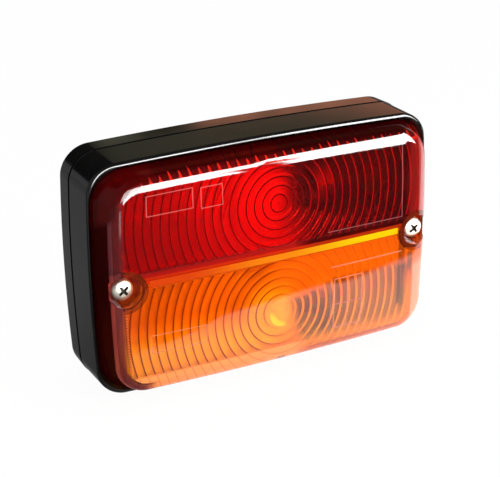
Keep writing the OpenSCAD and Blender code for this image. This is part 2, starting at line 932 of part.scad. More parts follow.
module bracket_rivets() {
    color("#c2c4c6")
    facing()
    at_rivets() {
        translate([0, 0, 0.1])
            cylinder(r = rivet_tail_r - 0.1, h = rivet_tail_h - 0.1);
        translate([0, 0, rivet_tail_h - weld])
            cylinder(r = rivet_r - 0.02, h = floor_t + bracket_t - rivet_tail_h + 2*weld);
        translate([0, 0, floor_t + bracket_t])
            cylinder(r1 = rivet_head_r, r2 = 0.6*rivet_head_r, h = rivet_head_h);
    }
}

// Four-way connector
module at_ways() {
    for (y = way_ys)
        translate([block_right, y, tube_z])
            rotate([0, -90, 0])
                children();
}

module at_terminal_screws() {
    for (y = way_ys)
        for (x = [block_right - 5, block_right - block_len + 5])
            translate([x, y, tube_z + tube_out_r])
                children();
}

module terminal_block() {
    color("#d9d6cc")
    facing()
    difference() {
        translate([block_right - block_len, -2*way_pitch - 0.2, floor_t])
            cube([block_len, 4*way_pitch + 0.4, block_h]);
        at_ways()
            translate([0, 0, -cut])
                cylinder(r = tube_out_r + 0.02, h = block_len + 2*cut, $fn = 24);
        at_terminal_screws()
            translate([0, 0, -0.3])
                cylinder(r = terminal_screw_r + 0.05, h = block_h, $fn = 24);
    }
}

module terminal_tubes() {
    color("#c7a24a")
    facing()
    difference() {
        at_ways()
            translate([0, 0, 1])
                cylinder(r = tube_out_r, h = block_len - 2, $fn = 24);
        at_ways()
            translate([0, 0, -cut])
                cylinder(r = tube_bore_r, h = block_len + 2*cut, $fn = 24);
    }
}

module terminal_screws() {
    screw_h = 1.8;
    color("#bdbfc1")
    facing()
    at_terminal_screws()
        difference() {
            translate([0, 0, 0.02])
                cylinder(r = terminal_screw_r, h = screw_h, $fn = 24);
            translate([-terminal_screw_r, -0.2, screw_h - 0.5])
                cube([2*terminal_screw_r, 0.4, 1]);
        }
}

// Points of a smooth curve through a list of points chosen by hand
function between(p, i, t) =
    let (
        a = p[max(i - 1, 0)], b = p[i], c = p[i + 1], d = p[min(i + 2, len(p) - 1)]
    )
    0.5*(2*b + (c - a)*t + (2*a - 5*b + 4*c - d)*t*t + (3*b - a - 3*c + d)*t*t*t);
function smooth(p, steps) = concat(
    [for (i = [0:len(p) - 2]) for (s = [0:steps - 1]) between(p, i, s/steps)],
    [p[len(p) - 1]]
);

// One inner wire: out of the shell, down between the sockets and along the floor to its way
module lead(up, way, x_back) {
    y = way_ys[way];
    lane_y = y*0.75;
    depth_over = stud_boss_h + washer_t + stud_head_h + lead_r + 0.9;
    start_x = disc_end + 0.35;
    path = [
        [start_x, up, bulb_depth],
        [start_x + 2, up, bulb_depth],
        [x_back, up*0.93, bulb_depth - 0.6],
        [x_back + 1.5, up*0.6, bulb_depth - 3],
        [x_back - 1, lane_y + (up > 0 ? 1.2 : -1.2), depth_over],
        [bracket_x + 2, lane_y, depth_over],
        [bracket_x - 6, lane_y, depth_over],
        [stud_spacing/2, lane_y, depth_over],
        [block_right + 6, lane_y, depth_over - 1.6],
        [block_right + 2.5, y, tube_z + 0.3],
        [block_right + 0.5, y, tube_z],
        [block_right - 3, y, tube_z]
    ];
    facing()
    tube(smooth(path, 4), lead_r, 8);
}

module tail_lead() {
    color("#3b3b3b")
    lead(ring_up + contact_pitch/2, 2, shell_end + 4.2);
}

module stop_lead() {
    color("#a02020")
    lead(ring_up - contact_pitch/2, 3, shell_end + 1.6);
}

module turn_lead() {
    color("#2f6b35")
    lead(-ring_up, 1, shell_end + 3);
}

module earth_lead() {
    y = way_ys[0];
    path = [
        [rivet_x + foot_len/2 - 1.4, -2, floor_t + bracket_t + lead_r + 0.05],
        [rivet_x, -1.5, floor_t + bracket_t + lead_r + 0.3],
        [bracket_x + 3, -3, 7.5],
        [bracket_x - 6, -5, 9.3],
        [stud_spacing/2, -5.6, 9.6],
        [block_right + 7, -4.9, 8.2],
        [block_right + 2.5, y, tube_z + 0.3],
        [block_right + 0.5, y, tube_z],
        [block_right - 3, y, tube_z]
    ];
    color("#5a3a22")
    facing()
    tube(smooth(path, 4), lead_r, 8);
}

// Rubber bush where the cable enters
module cable_grommet() {
    inner_flange_t = 1.4;
    color("#151516")
    facing()
    translate([-bush_x, 0, 0])
        rotate_extrude()
            polygon([
                [cable_r, 0.1], [bush_flange_r, 0.1], [bush_flange_r, bush_sunk - 0.02],
                [bush_neck_r - 0.02, bush_sunk - 0.02], [bush_neck_r - 0.02, floor_t + 0.02],
                [bush_flange_r, floor_t + 0.02], [bush_flange_r - 1, floor_t + inner_flange_t],
                [cable_r, floor_t + inner_flange_t]
            ]);
}

module hexagon(af, h) {
    cylinder(r = af/2/cos(30), h = h, $fn = 6);
}

module mount_bolts() {
    head_z = stud_boss_h + washer_t;
    color("#b9bcbf")
    facing()
    at_studs() {
        translate([0, 0, head_z])
            hexagon(hex_af, stud_head_h);
        translate([0, 0, neck_start])
            cylinder(r = stud_neck_r, h = head_z - neck_start + weld);
        translate([0, 0, -stud_out])
            cylinder(r = stud_r, h = stud_out + neck_start + weld);
    }
}

module mount_washers() {
    color("#a9acaf")
    facing()
    at_studs()
        difference() {
            translate([0, 0, stud_boss_h])
                cylinder(r = washer_r, h = washer_t);
            cylinder(r = stud_neck_r + fit, h = 2*stud_boss_h);
        }
}

rear_base();
body_seal();
housing_frame();
lens_seal();
lens_red();
lens_amber();
lens_screws();
upper_reflector();
lower_reflector();
stop_bulb_glass();
stop_bulb_cap();
stop_bulb_filaments();
stop_bulb_insulator();
stop_bulb_contacts();
turn_bulb_glass();
turn_bulb_cap();
turn_bulb_filament();
turn_bulb_insulator();
turn_bulb_contact();
upper_socket();
lower_socket();
upper_contact_disc();
lower_contact_disc();
upper_disc_contacts();
lower_disc_contact();
upper_socket_spring();
lower_socket_spring();
socket_bracket();
bracket_rivets();
terminal_block();
terminal_tubes();
terminal_screws();
tail_lead();
stop_lead();
turn_lead();
earth_lead();
cable_grommet();
mount_bolts();
mount_washers();
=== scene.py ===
import math
import bpy
from mathutils import Matrix, Vector


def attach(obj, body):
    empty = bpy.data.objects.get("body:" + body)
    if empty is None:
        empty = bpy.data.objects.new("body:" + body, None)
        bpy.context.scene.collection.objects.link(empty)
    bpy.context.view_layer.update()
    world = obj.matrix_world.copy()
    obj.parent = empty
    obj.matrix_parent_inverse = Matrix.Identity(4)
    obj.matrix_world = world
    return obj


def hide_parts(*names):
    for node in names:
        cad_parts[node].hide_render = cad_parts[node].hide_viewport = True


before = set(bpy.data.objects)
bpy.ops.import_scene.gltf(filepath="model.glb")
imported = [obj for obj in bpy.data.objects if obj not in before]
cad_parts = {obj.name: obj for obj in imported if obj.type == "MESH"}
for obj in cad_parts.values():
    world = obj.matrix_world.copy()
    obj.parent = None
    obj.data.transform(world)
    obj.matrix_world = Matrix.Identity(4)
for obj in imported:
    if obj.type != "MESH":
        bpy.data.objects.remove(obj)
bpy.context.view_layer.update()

MM = 0.001

# Sizes of the lamp, in millimetres; depth is measured forward from the mounting face
HOUSING = (126.0, 82.0)
FRAME = (125.6, 81.6)
CORNER = 9.5
SIDE_BOW = 1.3
BASE_DEPTH = 8.1
SEAM_TOP = 8.9
RIM_TOP = 24.0
FLOOR_T = 2.2
LEDGE_TOP = 21.2
LEDGE_T = 2.0
LEDGE_W = 3.0
SKIRT = (122.8, 76.8)
SKIRT_CORNER = 10.4
SKIRT_FOOT = 22.0
SKIRT_LEAN = (3.2, 0.9)
SHOULDER_Z = 29.6
SHOULDER_RUN = 5.0
SHOULDER_RISE = 2.8
CROWN = 1.0
LENS_WALL = 2.3
INNER_FRONT_Z = 29.6
PARTING_UP = 1.6
PARTING_GAP = 0.03
RING_X = 1.0
RING_UP = 19.2
RING_PITCH = 3.0
RING_H = 0.35
SCREW_X = 54.0
POCKET_R = 5.4
POCKET_WALL = 1.8
POCKET_Z = 28.4
POCKET_UNDER_Z = 26.4
RIB = (92.0, 2.4, 6.0)
SEAL = (125.0, 81.0)
SEAL_W = 1.6
DRAFT = 0.3
LIP_IN = 2.5
LIP_H = 3.0
LIP_T = 1.4
SCREW_POST_R = 4.0
SCREW_HEAD = (3.6, 2.3)
SHANK_R = 1.7
SHANK_LENGTH = 17.5
STUD_X = 25.0
STUD_BOSS_R = 6.3
STUD_BOSS_TOP = 6.4
RIVET_X = 42.0
RIVET_Z = 5.5
BUSH_X = -41.0


# Modelling helpers

def deselect_all():
    for other in bpy.context.selected_objects:
        other.select_set(False)


def make_active(piece):
    deselect_all()
    piece.select_set(True)
    bpy.context.view_layer.objects.active = piece


def edit(piece):
    make_active(piece)
    bpy.ops.object.mode_set(mode="EDIT")
    bpy.ops.mesh.select_all(action="SELECT")


def leave_edit():
    bpy.ops.object.mode_set(mode="OBJECT")


def select_faces(piece, test):
    """Selects the faces whose centre and normal pass the test, in edit mode."""
    bpy.ops.mesh.select_mode(type="FACE")
    bpy.ops.mesh.select_all(action="DESELECT")
    bpy.ops.object.mode_set(mode="OBJECT")
    for face in piece.data.polygons:
        face.select = test(face.center / MM, face.normal)
    bpy.ops.object.mode_set(mode="EDIT")


def select_edges(piece, test):
    """Selects the edges whose two ends pass the test, in edit mode."""
    bpy.ops.mesh.select_mode(type="EDGE")
    bpy.ops.mesh.select_all(action="DESELECT")
    bpy.ops.object.mode_set(mode="OBJECT")
    points = [v.co / MM for v in piece.data.vertices]
    for mesh_edge in piece.data.edges:
        a, b = mesh_edge.vertices
        mesh_edge.select = test(points[a], points[b])
    bpy.ops.object.mode_set(mode="EDIT")


def select_front(piece, depth):
    """Selects the forward-looking faces at a depth, in edit mode."""
    select_faces(piece, lambda c, n: abs(c.y + depth) < 0.02 and n.y < -0.9)


def select_back(piece, depth):
    select_faces(piece, lambda c, n: abs(c.y + depth) < 0.02 and n.y > 0.9)


def push(forward, scale=(1.0, 1.0)):
    """Extrudes the selected faces forward and resizes them about the lamp's axis."""
    bpy.ops.mesh.extrude_region_move(
        TRANSFORM_OT_translate={"value": (0, -forward * MM, 0)}
    )
    if scale != (1.0, 1.0):
        bpy.ops.transform.resize(
            value=(scale[0], 1, scale[1]), center_override=(0, 0, 0)
        )


def inset(thickness, raised=0.0):
    bpy.ops.mesh.inset(thickness=thickness * MM, depth=raised * MM)


def bridge_open_edges():
    bpy.ops.mesh.select_mode(type="EDGE")
    bpy.ops.mesh.select_all(action="DESELECT")
    bpy.ops.mesh.select_non_manifold()
    bpy.ops.mesh.bridge_edge_loops()


def place(piece):
    """Puts the object's origin at the row's origin with its place in its mesh."""
    make_active(piece)
    bpy.ops.object.transform_apply(location=True, rotation=True, scale=True)


def name_piece(name):
    piece = bpy.context.object
    piece.name = name
    piece.data.name = name
    return piece


def rounded_block(name, size, corner, back, front, segments=14):
    """An upright block with four rounded corners, from one depth to another."""
    deselect_all()
    bpy.ops.mesh.primitive_cube_add(
        size=1,
        location=(0, -(back + front) / 2 * MM, 0),
        scale=(size[0] * MM, (front - back) * MM, size[1] * MM),
    )
    piece = name_piece(name)
    place(piece)
    edit(piece)
    select_edges(
        piece,
        lambda a, b: abs(a.y - b.y) > 0.1 and abs(a.x - b.x) + abs(a.z - b.z) < 0.01,
    )
    bpy.ops.mesh.bevel(offset=corner * MM, segments=segments, affect="EDGES")
    leave_edit()
    return piece


def rod(name, radius, back, front, x=0.0, up=0.0, sides=48):
    """A round bar along the depth."""
    deselect_all()
    bpy.ops.mesh.primitive_cylinder_add(
        vertices=sides,
        radius=radius * MM,
        depth=(front - back) * MM,
        location=(x * MM, -(back + front) / 2 * MM, up * MM),
        rotation=(math.pi / 2, 0, 0),
    )
    piece = name_piece(name)
    place(piece)
    return piece


def block(name, size, centre):
    deselect_all()
    bpy.ops.mesh.primitive_cube_add(
        size=1,
        location=(centre[0] * MM, -centre[1] * MM, centre[2] * MM),
        scale=(size[0] * MM, size[1] * MM, size[2] * MM),
    )
    piece = name_piece(name)
    place(piece)
    return piece


def combine(piece, other, operation):
    """Joins, cuts or intersects a piece with another one, which is used up."""
    make_active(piece)
    modifier = piece.modifiers.new(operation, "BOOLEAN")
    modifier.operation = operation
    modifier.solver = "EXACT"
    modifier.material_mode = "TRANSFER"
    modifier.object = other
    bpy.ops.object.modifier_apply(modifier=modifier.name)
    bpy.data.objects.remove(other)
    return piece


def copy_of(piece, name):
    twin = piece.copy()
    twin.data = piece.data.copy()
    twin.name = name
    twin.data.name = name
    bpy.context.scene.collection.objects.link(twin)
    return twin


def cut_lines(piece, columns=10, rows=8):
    """Cuts edge lines across the piece, so that its sides can bow."""
    edit(piece)
    for i in range(1, columns):
        bpy.ops.mesh.select_all(action="SELECT")
        bpy.ops.mesh.bisect(
            plane_co=((-54 + 108 * i / columns) * MM, 0, 0), plane_no=(1, 0, 0)
        )
    for i in range(1, rows):
        bpy.ops.mesh.select_all(action="SELECT")
        bpy.ops.mesh.bisect(
            plane_co=(0, 0, (-31 + 62 * i / rows) * MM), plane_no=(0, 0, 1)
        )
    leave_edit()


def bow(piece, cut=True):
    """Bows the four sides outward with a cage whose corners are drawn in."""
    if cut:
        cut_lines(piece)
    deselect_all()
    bpy.ops.object.add(type="LATTICE", location=(0, -20 * MM, 0))
    cage = bpy.context.object
    cage.scale = (HOUSING[0] * MM, 60 * MM, HOUSING[1] * MM)
    cage.data.points_u = 11
    cage.data.points_v = 2
    cage.data.points_w = 11
    cage.data.interpolation_type_u = "KEY_LINEAR"
    cage.data.interpolation_type_v = "KEY_LINEAR"
    cage.data.interpolation_type_w = "KEY_LINEAR"
    for point in cage.data.points:
        x, y, z = point.co
        point.co_deform = (
            x * (1 - 2 * SIDE_BOW / HOUSING[0] * (2 * z) ** 2),
            y,
            z * (1 - 2 * SIDE_BOW / HOUSING[1] * (2 * x) ** 2),
        )
    bpy.context.view_layer.update()
    make_active(piece)
    modifier = piece.modifiers.new("bow", "LATTICE")
    modifier.object = cage
    bpy.ops.object.modifier_apply(modifier=modifier.name)
    bpy.data.objects.remove(cage)
    return piece


def smooth(piece, degrees=35, weighted=True):
    make_active(piece)
    bpy.ops.object.shade_smooth_by_angle(angle=math.radians(degrees))
    if weighted:
        modifier = piece.modifiers.new("even", "WEIGHTED_NORMAL")
        modifier.keep_sharp = True
        bpy.ops.object.modifier_apply(modifier=modifier.name)
    return piece


def finish_piece(piece, material, slot, *nodes):
    if material:
        piece.data.materials.clear()
        piece.data.materials.append(material)
    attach(piece, "root")
    if nodes:
        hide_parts(*nodes)
    return piece


# Material helpers

class Socket:
    """A value in a material. Arithmetic on it adds Math nodes."""

    def __init__(self, tree, out):
        self.tree = tree
        self.out = out

    def math(self, operation, *values):
        return node(self.tree, "ShaderNodeMath", {"operation": operation}, *values)

    def __add__(self, other):
        return self.math("ADD", self, other)

    def __radd__(self, other):
        return self.math("ADD", other, self)

    def __sub__(self, other):
        return self.math("SUBTRACT", self, other)

    def __rsub__(self, other):
        return self.math("SUBTRACT", other, self)

    def __mul__(self, other):
        return self.math("MULTIPLY", self, other)

    def __rmul__(self, other):
        return self.math("MULTIPLY", other, self)

    def __truediv__(self, other):
        return self.math("DIVIDE", self, other)


def node(tree, kind, settings=None, *values, out=0, **sockets):
    """Adds a node, sets it up, fills its sockets and returns one of its outputs."""
    made = tree.nodes.new(kind)
    for key, value in (settings or {}).items():
        if key == "stops":
            ramp = made.color_ramp
            while len(ramp.elements) > 1:
                ramp.elements.remove(ramp.elements[-1])
            for i, (position, colour) in enumerate(value):
                stop = ramp.elements[0] if i == 0 else ramp.elements.new(position)
                stop.position = position
                stop.color = colour
        else:
            setattr(made, key, value)
    filled = list(enumerate(values)) + [
        (key.replace("_", " "), value) for key, value in sockets.items()
    ]
    for key, value in filled:
        if value is None:
            continue
        if isinstance(value, Socket):
            tree.links.new(value.out, made.inputs[key])
        else:
            made.inputs[key].default_value = value
    return Socket(tree, made.outputs[out])


def new_material(name):
    material = bpy.data.materials.new(name)
    material.use_nodes = True
    material.node_tree.nodes.clear()
    return material, material.node_tree


def show(tree, shader):
    output = tree.nodes.new("ShaderNodeOutputMaterial")
    tree.links.new(shader.out, output.inputs["Surface"])


def rgba(r, g, b, a=1.0):
    return (r, g, b, a)


def mix_colour(tree, factor, a, b):
    """A between 0 and b at 1."""
    made = tree.nodes.new("ShaderNodeMix")
    made.data_type = "RGBA"
    for index, value in ((0, factor), (6, a), (7, b)):
        if isinstance(value, Socket):
            tree.links.new(value.out, made.inputs[index])
        else:
            made.inputs[index].default_value = value
    return Socket(tree, made.outputs[2])


def noise(tree, scale, detail=2.0, stretch=(1, 1, 1)):
    """Cloudy noise on the piece's own coordinates, with its scale in bumps per metre."""
    place_on = node(tree, "ShaderNodeTexCoord", out="Object")
    mapped = node(tree, "ShaderNodeMapping", {}, place_on, Scale=stretch)
    return node(
        tree, "ShaderNodeTexNoise", {}, Vector=mapped, Scale=scale, Detail=detail
    )


def coordinates(tree):
    """The three coordinates on the piece, in metres."""
    place_on = node(tree, "ShaderNodeTexCoord", out="Object")
    return [node(tree, "ShaderNodeSeparateXYZ", {}, place_on, out=i) for i in range(3)]


def absolute(value):
    return value.math("ABSOLUTE", value)


def bump(tree, height, strength, distance):
    return node(
        tree, "ShaderNodeBump", {}, Strength=strength, Distance=distance, Height=height
    )


def span(tree, value, low, high, new_low=0.0, new_high=1.0):
    return node(
        tree, "ShaderNodeMapRange", {"interpolation_type": "SMOOTHSTEP"},
        value, low, high, new_low, new_high,
    )


def plastic_look(name, dark, pale, rough, grain=2500.0, grain_depth=0.00001, strength=0.15):
    """Moulded plastic: faint colour clouds, fine grain and uneven gloss."""
    material, tree = new_material(name)
    clouds = noise(tree, 90.0, 4.0)
    fine = noise(tree, grain, 2.0)
    shader = node(
        tree, "ShaderNodeBsdfPrincipled", {},
        Base_Color=mix_colour(tree, clouds, dark, pale),
        Roughness=clouds * 0.08 + (rough - 0.04),
        Normal=bump(tree, fine, strength, grain_depth),
    )
    show(tree, shader)
    return material


def metal_look(name, dark, pale, rough, scale=900.0, stretch=(1, 1, 1), depth=0.00001):
    """Plated or brushed metal with fine marks."""
    material, tree = new_material(name)
    clouds = noise(tree, 140.0, 3.0)
    marks = noise(tree, scale, 3.0, stretch)
    shader = node(
        tree, "ShaderNodeBsdfPrincipled", {},
        Base_Color=mix_colour(tree, clouds, dark, pale),
        Metallic=1.0,
        Roughness=marks * 0.16 + (rough - 0.08),
        Normal=bump(tree, marks, 0.2, depth),
    )
    show(tree, shader)
    return material


class Layers:
    """Colours painted over a clear plastic, most of them painted light and shade, some of them
    outlines: where they lie, their thickness, colour and gloss.
    """

    def __init__(self, tree, colour):
        self.tree = tree
        self.thick = 0.0
        self.colour = colour
        self.gloss = 1.0

    def add(self, place, thick, colour, gloss=1.0):
        self.thick = (1 - place) * self.thick + place * thick
        self.colour = mix_colour(self.tree, place, self.colour, colour)
        self.gloss = (1 - place) * self.gloss + place * gloss


def past(tree, value, edge, blur):
    """Rises from 0 to 1 as the value passes the edge."""
    return span(tree, value, edge - blur / 2, edge + blur / 2)


def line(tree, value, centre, width):
    """1 on a line around the centre value."""
    return 1 - span(tree, absolute(value - centre), width * 0.35, width * 0.65)


def share(value, pitch):
    """How far the value is from one repeat to the next, from 0 to 1."""
    turns = value / pitch
    return turns.math("FRACT", turns)


def clear_look(name, tint, lamp_tint, rough=0.02, ior=1.49, wave=0.1, layers=None):
    """Clear moulded plastic that lets the lamps through to what is behind it."""
    material, tree = new_material(name)
    drift = noise(tree, 60.0, 2.0)
    shader = node(
        tree, "ShaderNodeBsdfPrincipled", {},
        Base_Color=tint(tree) if callable(tint) else tint,
        Roughness=drift * 0.02 + (rough - 0.01),
        IOR=ior,
        Transmission_Weight=1.0,
        Normal=bump(tree, drift, wave, 0.00005),
    )
    # The layers mix painted light and shade over the clear plastic.
    if layers:
        over = layers(tree)
        painted_layer_shader = node(
            tree, "ShaderNodeBsdfPrincipled", {},
            Base_Color=over.colour,
            Roughness=0.4,
            Specular_IOR_Level=0.0,
            Coat_Weight=over.gloss,
            Coat_Roughness=0.02,
        )
        shader = node(tree, "ShaderNodeMixShader", {}, over.thick, shader, painted_layer_shader)
    lit = node(tree, "ShaderNodeBsdfTransparent", {}, lamp_tint)
    ray = node(tree, "ShaderNodeLightPath", out="Is Shadow Ray")
    show(tree, node(tree, "ShaderNodeMixShader", {}, ray, shader, lit))
    return material


HOUSING_BLACK = plastic_look(
    "glossy_black_plastic", rgba(0.002, 0.002, 0.0022), rgba(0.005, 0.0047, 0.0047), 0.12
)
RUBBER = plastic_look(
    "black_rubber", rgba(0.012, 0.012, 0.012), rgba(0.03, 0.03, 0.03), 0.7, 1800.0, 0.00004, 0.5
)
LENS_RED = rgba(0.93, 0.012, 0.008)
LENS_AMBER = rgba(0.99, 0.3, 0.008)
RED_LIGHT = rgba(0.97, 0.08, 0.06)
AMBER_LIGHT = rgba(1.0, 0.62, 0.12)


# Places on the lens, in millimetres: outlines as left, right, low and high, lines as one value
SHOULDER_EDGE = (SKIRT[0] / 2 - SKIRT_LEAN[0], SKIRT[1] / 2 - SKIRT_LEAN[1])
STRIP_END = RIB[0] / 2
RED_BOXES = ((-46.4, -30.6, 24.4, 31.0), (-27.7, -20.2, 23.6, 30.4))
AMBER_LEFT_BOX = (-46.5, -27.0, -23.2, -16.9)
AMBER_RIGHT_BOX = (20.9, 31.8, -29.6, -11.2)
AMBER_CROSS_X = 26.0
AMBER_CROSS_Z = -20.6
PANEL_RIGHT_X = 47.6
RED_PANEL_Z = 6.5
AMBER_PANEL_Z = -6.5
TOOTH_PITCH = 3.4
TOOTH_FOOT_Z = 34.7
BEAD_PITCH = 0.95


def lens_place(tree):
    """Coordinates on the lens in millimetres, with the bow of its sides taken out."""
    across, _, high = coordinates(tree)
    x = across * 1000
    z = high * 1000
    flat_x = x * (z * z * (2 * SIDE_BOW / HOUSING[0] / (HOUSING[1] / 2) ** 2) + 1)
    flat_z = z * (x * x * (2 * SIDE_BOW / HOUSING[1] / (HOUSING[0] / 2) ** 2) + 1)
    return flat_x, flat_z


def radius_from(x, z, centre_x, centre_z):
    dx = x - centre_x
    dz = z - centre_z
    squares = dx * dx + dz * dz
    return squares.math("SQRT", squares)


def ring_line(tree, x, z, chamber, width):
    """1 along the sharp edge between one ring and the next."""
    radius = radius_from(x, z, RING_X, chamber * RING_UP)
    beside = (0.5 - absolute(share(radius, RING_PITCH) - 0.5)) * RING_PITCH
    return 1 - span(tree, beside / width, 0.35, 0.65)


def frame_line(tree, x, z, left, right, low, high, width=0.32):
    """1 along the outline of an upright rectangle."""
    beside_x = absolute(x - (left + right) / 2) - (right - left) / 2
    beside_z = absolute(z - (low + high) / 2) - (high - low) / 2
    beside = beside_x.math("MAXIMUM", beside_x, beside_z)
    return line(tree, beside, 0.0, width)


def from_shoulder(x, z):
    """How far a place on the lens lies inside the outer edge of its rounded shoulder."""
    corner = SKIRT_CORNER - 0.4
    dx = absolute(x) - (SHOULDER_EDGE[0] - corner)
    dz = absolute(z) - (SHOULDER_EDGE[1] - corner)
    past_x = dx.math("MAXIMUM", dx, 0.0)
    past_z = dz.math("MAXIMUM", dz, 0.0)
    squares = past_x * past_x + past_z * past_z
    nearer = dx.math("MAXIMUM", dx, dz)
    return corner - squares.math("SQRT", squares) - nearer.math("MINIMUM", nearer, 0.0)


def strip_glow_colour(tree, x):
    """Painted glow of the middle rib, from orange on the left to yellow on the right."""
    left = mix_colour(tree, span(tree, x, -34, 0), rgba(0.56, 0.05, 0.004), rgba(0.72, 0.2, 0.005))
    return mix_colour(tree, span(tree, x, 0, 36), left, rgba(0.82, 0.52, 0.003))


def add_strip_glow(over, tree, x, place):
    # Painted glow over the middle rib, fading out at its ends.
    ends = 1 - past(tree, absolute(x), STRIP_END, 0.6)
    over.add(place * ends, 0.95, strip_glow_colour(tree, x))


def add_left_edge_light_and_shade(over, tree, x, inward, shoulder, pale):
    """Painted shade on the skirt and shoulder on the left, whose walls are seen edge on, with a
    painted highlight line along the shoulder's edge.
    """
    left = 1 - span(tree, x, -50, -44)
    over.add(left * (1 - span(tree, inward, 2.6, 3.8)), 0.82, shoulder, 0.4)
    over.add(left * line(tree, inward, 3.3, 0.7), 0.6, rgba(0.03, 0.001, 0.001), 0.5)
    over.add(left * line(tree, inward, 0.35, 0.7), 0.8, pale, 0.4)
    over.add(left * (1 - span(tree, inward, -0.15, 0.05)), 0.97, rgba(0.02, 0.0003, 0.0003), 0.06)


def add_panel_lines(over, tree, x, z, colour):
    """Fine raised lines that bound the plain panel on the right of the red lens."""
    ends = span(tree, x, 17.6, 18.2) * (1 - span(tree, x, PANEL_RIGHT_X, PANEL_RIGHT_X + 0.6))
    bottom = line(tree, z, RED_PANEL_Z, 0.34) * ends
    side = line(tree, x, PANEL_RIGHT_X, 0.34) * span(tree, z, 6.3, 6.7)
    side = side * (1 - span(tree, z, 34.0, 34.4))
    over.add(bottom.math("MAXIMUM", bottom, side), 0.6, colour)


def red_layers(tree):
    """The outer side of the red lens: lit teeth under the upper edge as painted light, outlines, and
    painted shade on its edges.
    """
    x, z = lens_place(tree)
    inward = from_shoulder(x, z)
    over = Layers(tree, rgba(0.12, 0.02, 0.02))
    over.thick = 0.1
    # Painted shade: above the strip the lens is lit red on the left and painted dark on the right.
    right = span(tree, x, 4, 12)
    foot = mix_colour(tree, right, rgba(0.3, 0.008, 0.006), rgba(0.035, 0.001, 0.001))
    over.add(1 - span(tree, z, 4.8, 6.2), 0.86, foot)
    # Painted shade towards the right edge, with a painted pale highlight along it.
    over.add(past(tree, x, 50.8, 2.0), 0.6, rgba(0.22, 0.012, 0.01))
    over.add(past(tree, x, 54.6, 0.8), 0.6, rgba(0.5, 0.1, 0.09))
    # Painted shade under the upper edge, the ridge ends as lit teeth of painted light, and painted
    # shade darkening to near black towards the rim.
    top = span(tree, z, 33.2, 34.4)
    over.add(top, 0.75, rgba(0.16, 0.004, 0.004))
    peak = absolute(share(x + z * 0.25, TOOTH_PITCH) - 0.5)
    uneven = noise(tree, 260.0, 2.0)
    tooth = (1 - span(tree, peak, 0.02, 0.2)) * span(tree, x, -55, -52)
    reach = tooth * (uneven * 3.6 + 0.4) + TOOTH_FOOT_Z
    over.add(top * (1 - span(tree, z - reach, -0.2, 0.2)), 0.7, rgba(0.62, 0.018, 0.008))
    near_edge_shade = rgba(0.016, 0.0003, 0.0004)
    fading_shade = mix_colour(tree, span(tree, z, 34.5, 37.4), rgba(0.075, 0.0015, 0.002), near_edge_shade)
    over.add(span(tree, z - reach, -0.2, 0.2), 0.9, fading_shade, span(tree, z, 36.0, 37.2, 1.0, 0.1))
    for box in RED_BOXES:
        over.add(frame_line(tree, x, z, *box), 0.45, rgba(0.6, 0.2, 0.18))
    add_panel_lines(over, tree, x, z, rgba(0.3, 0.11, 0.11))
    # Painted glow: an orange-red band and a line above the strip.
    over.add(1 - span(tree, z, 3.4, 4.0), 0.6, rgba(0.5, 0.035, 0.004))
    over.add(line(tree, z, 2.75, 0.4), 0.6, rgba(0.35, 0.02, 0.002))
    add_left_edge_light_and_shade(over, tree, x, inward, rgba(0.075, 0.003, 0.004), rgba(0.12, 0.028, 0.036))
    # Painted shade in the upper left corner.
    corner = span(tree, z - x * 0.9, 74, 78) * (1 - span(tree, inward, 1.6, 2.6))
    over.add(corner, 0.9, rgba(0.04, 0.0006, 0.0008), 0.3)
    add_strip_glow(over, tree, x, 1 - past(tree, z, 2.55, 0.15))
    return over


def red_ridge_tint(tree):
    x, z = lens_place(tree)
    # Painted shade along the ring edges on the left.
    dark = ring_line(tree, x, z, 1, 0.5) * (1 - span(tree, x, 6, 14))
    return mix_colour(tree, dark * 0.75, LENS_RED, rgba(0.12, 0.001, 0.001))


def red_ridge_layers(tree):
    """The inner side of the red lens, with painted light and shade: a painted glow left of the boss,
    painted shade on the right, and ring lines painted dark on the left and bright on the right.
    """
    x, z = lens_place(tree)
    over = Layers(tree, rgba(0.55, 0.03, 0.02))
    over.thick = 0.5
    # Painted shade at the far left, lighter towards the middle.
    from_left = span(tree, x, -54, -18)
    over.colour = mix_colour(tree, from_left, rgba(0.28, 0.01, 0.01), rgba(0.44, 0.01, 0.01))
    glow = 1 - span(tree, radius_from(x, z * 0.7, -5.0, 16.0), 3, 13)
    over.add(glow, 0.72, rgba(0.95, 0.02, 0.01))
    # Painted shade right of the rings' middle.
    beyond = span(tree, x + z * 0.25, 7, 16) * (1 - span(tree, x, 50, 54))
    over.add(beyond, 0.72, rgba(0.045, 0.001, 0.002))
    dark = ring_line(tree, x, z, 1, 0.45) * (1 - span(tree, x, 6, 14))
    over.add(dark, 0.6, rgba(0.14, 0.002, 0.002))
    over.add(ring_line(tree, x, z, 1, 0.4) * span(tree, x, 8, 15), 0.6, rgba(0.5, 0.03, 0.02))
    return over


def amber_tint(tree):
    """Amber, tinted yellower low down and near the middle of the rings as painted light."""
    x, z = lens_place(tree)
    low = 1 - span(tree, z, -27, -15)
    near = 1 - span(tree, radius_from(x, z, RING_X - 2, -RING_UP - 2), 4, 16)
    yellow = low.math("MAXIMUM", low, near)
    return mix_colour(tree, yellow, LENS_AMBER, rgba(0.99, 0.5, 0.015))


def amber_floor(tree, x):
    """How high the brown shade reaches on the right of the amber lens."""
    return span(tree, x, 24, 7, 0, 1) * -4.0 - 11.5


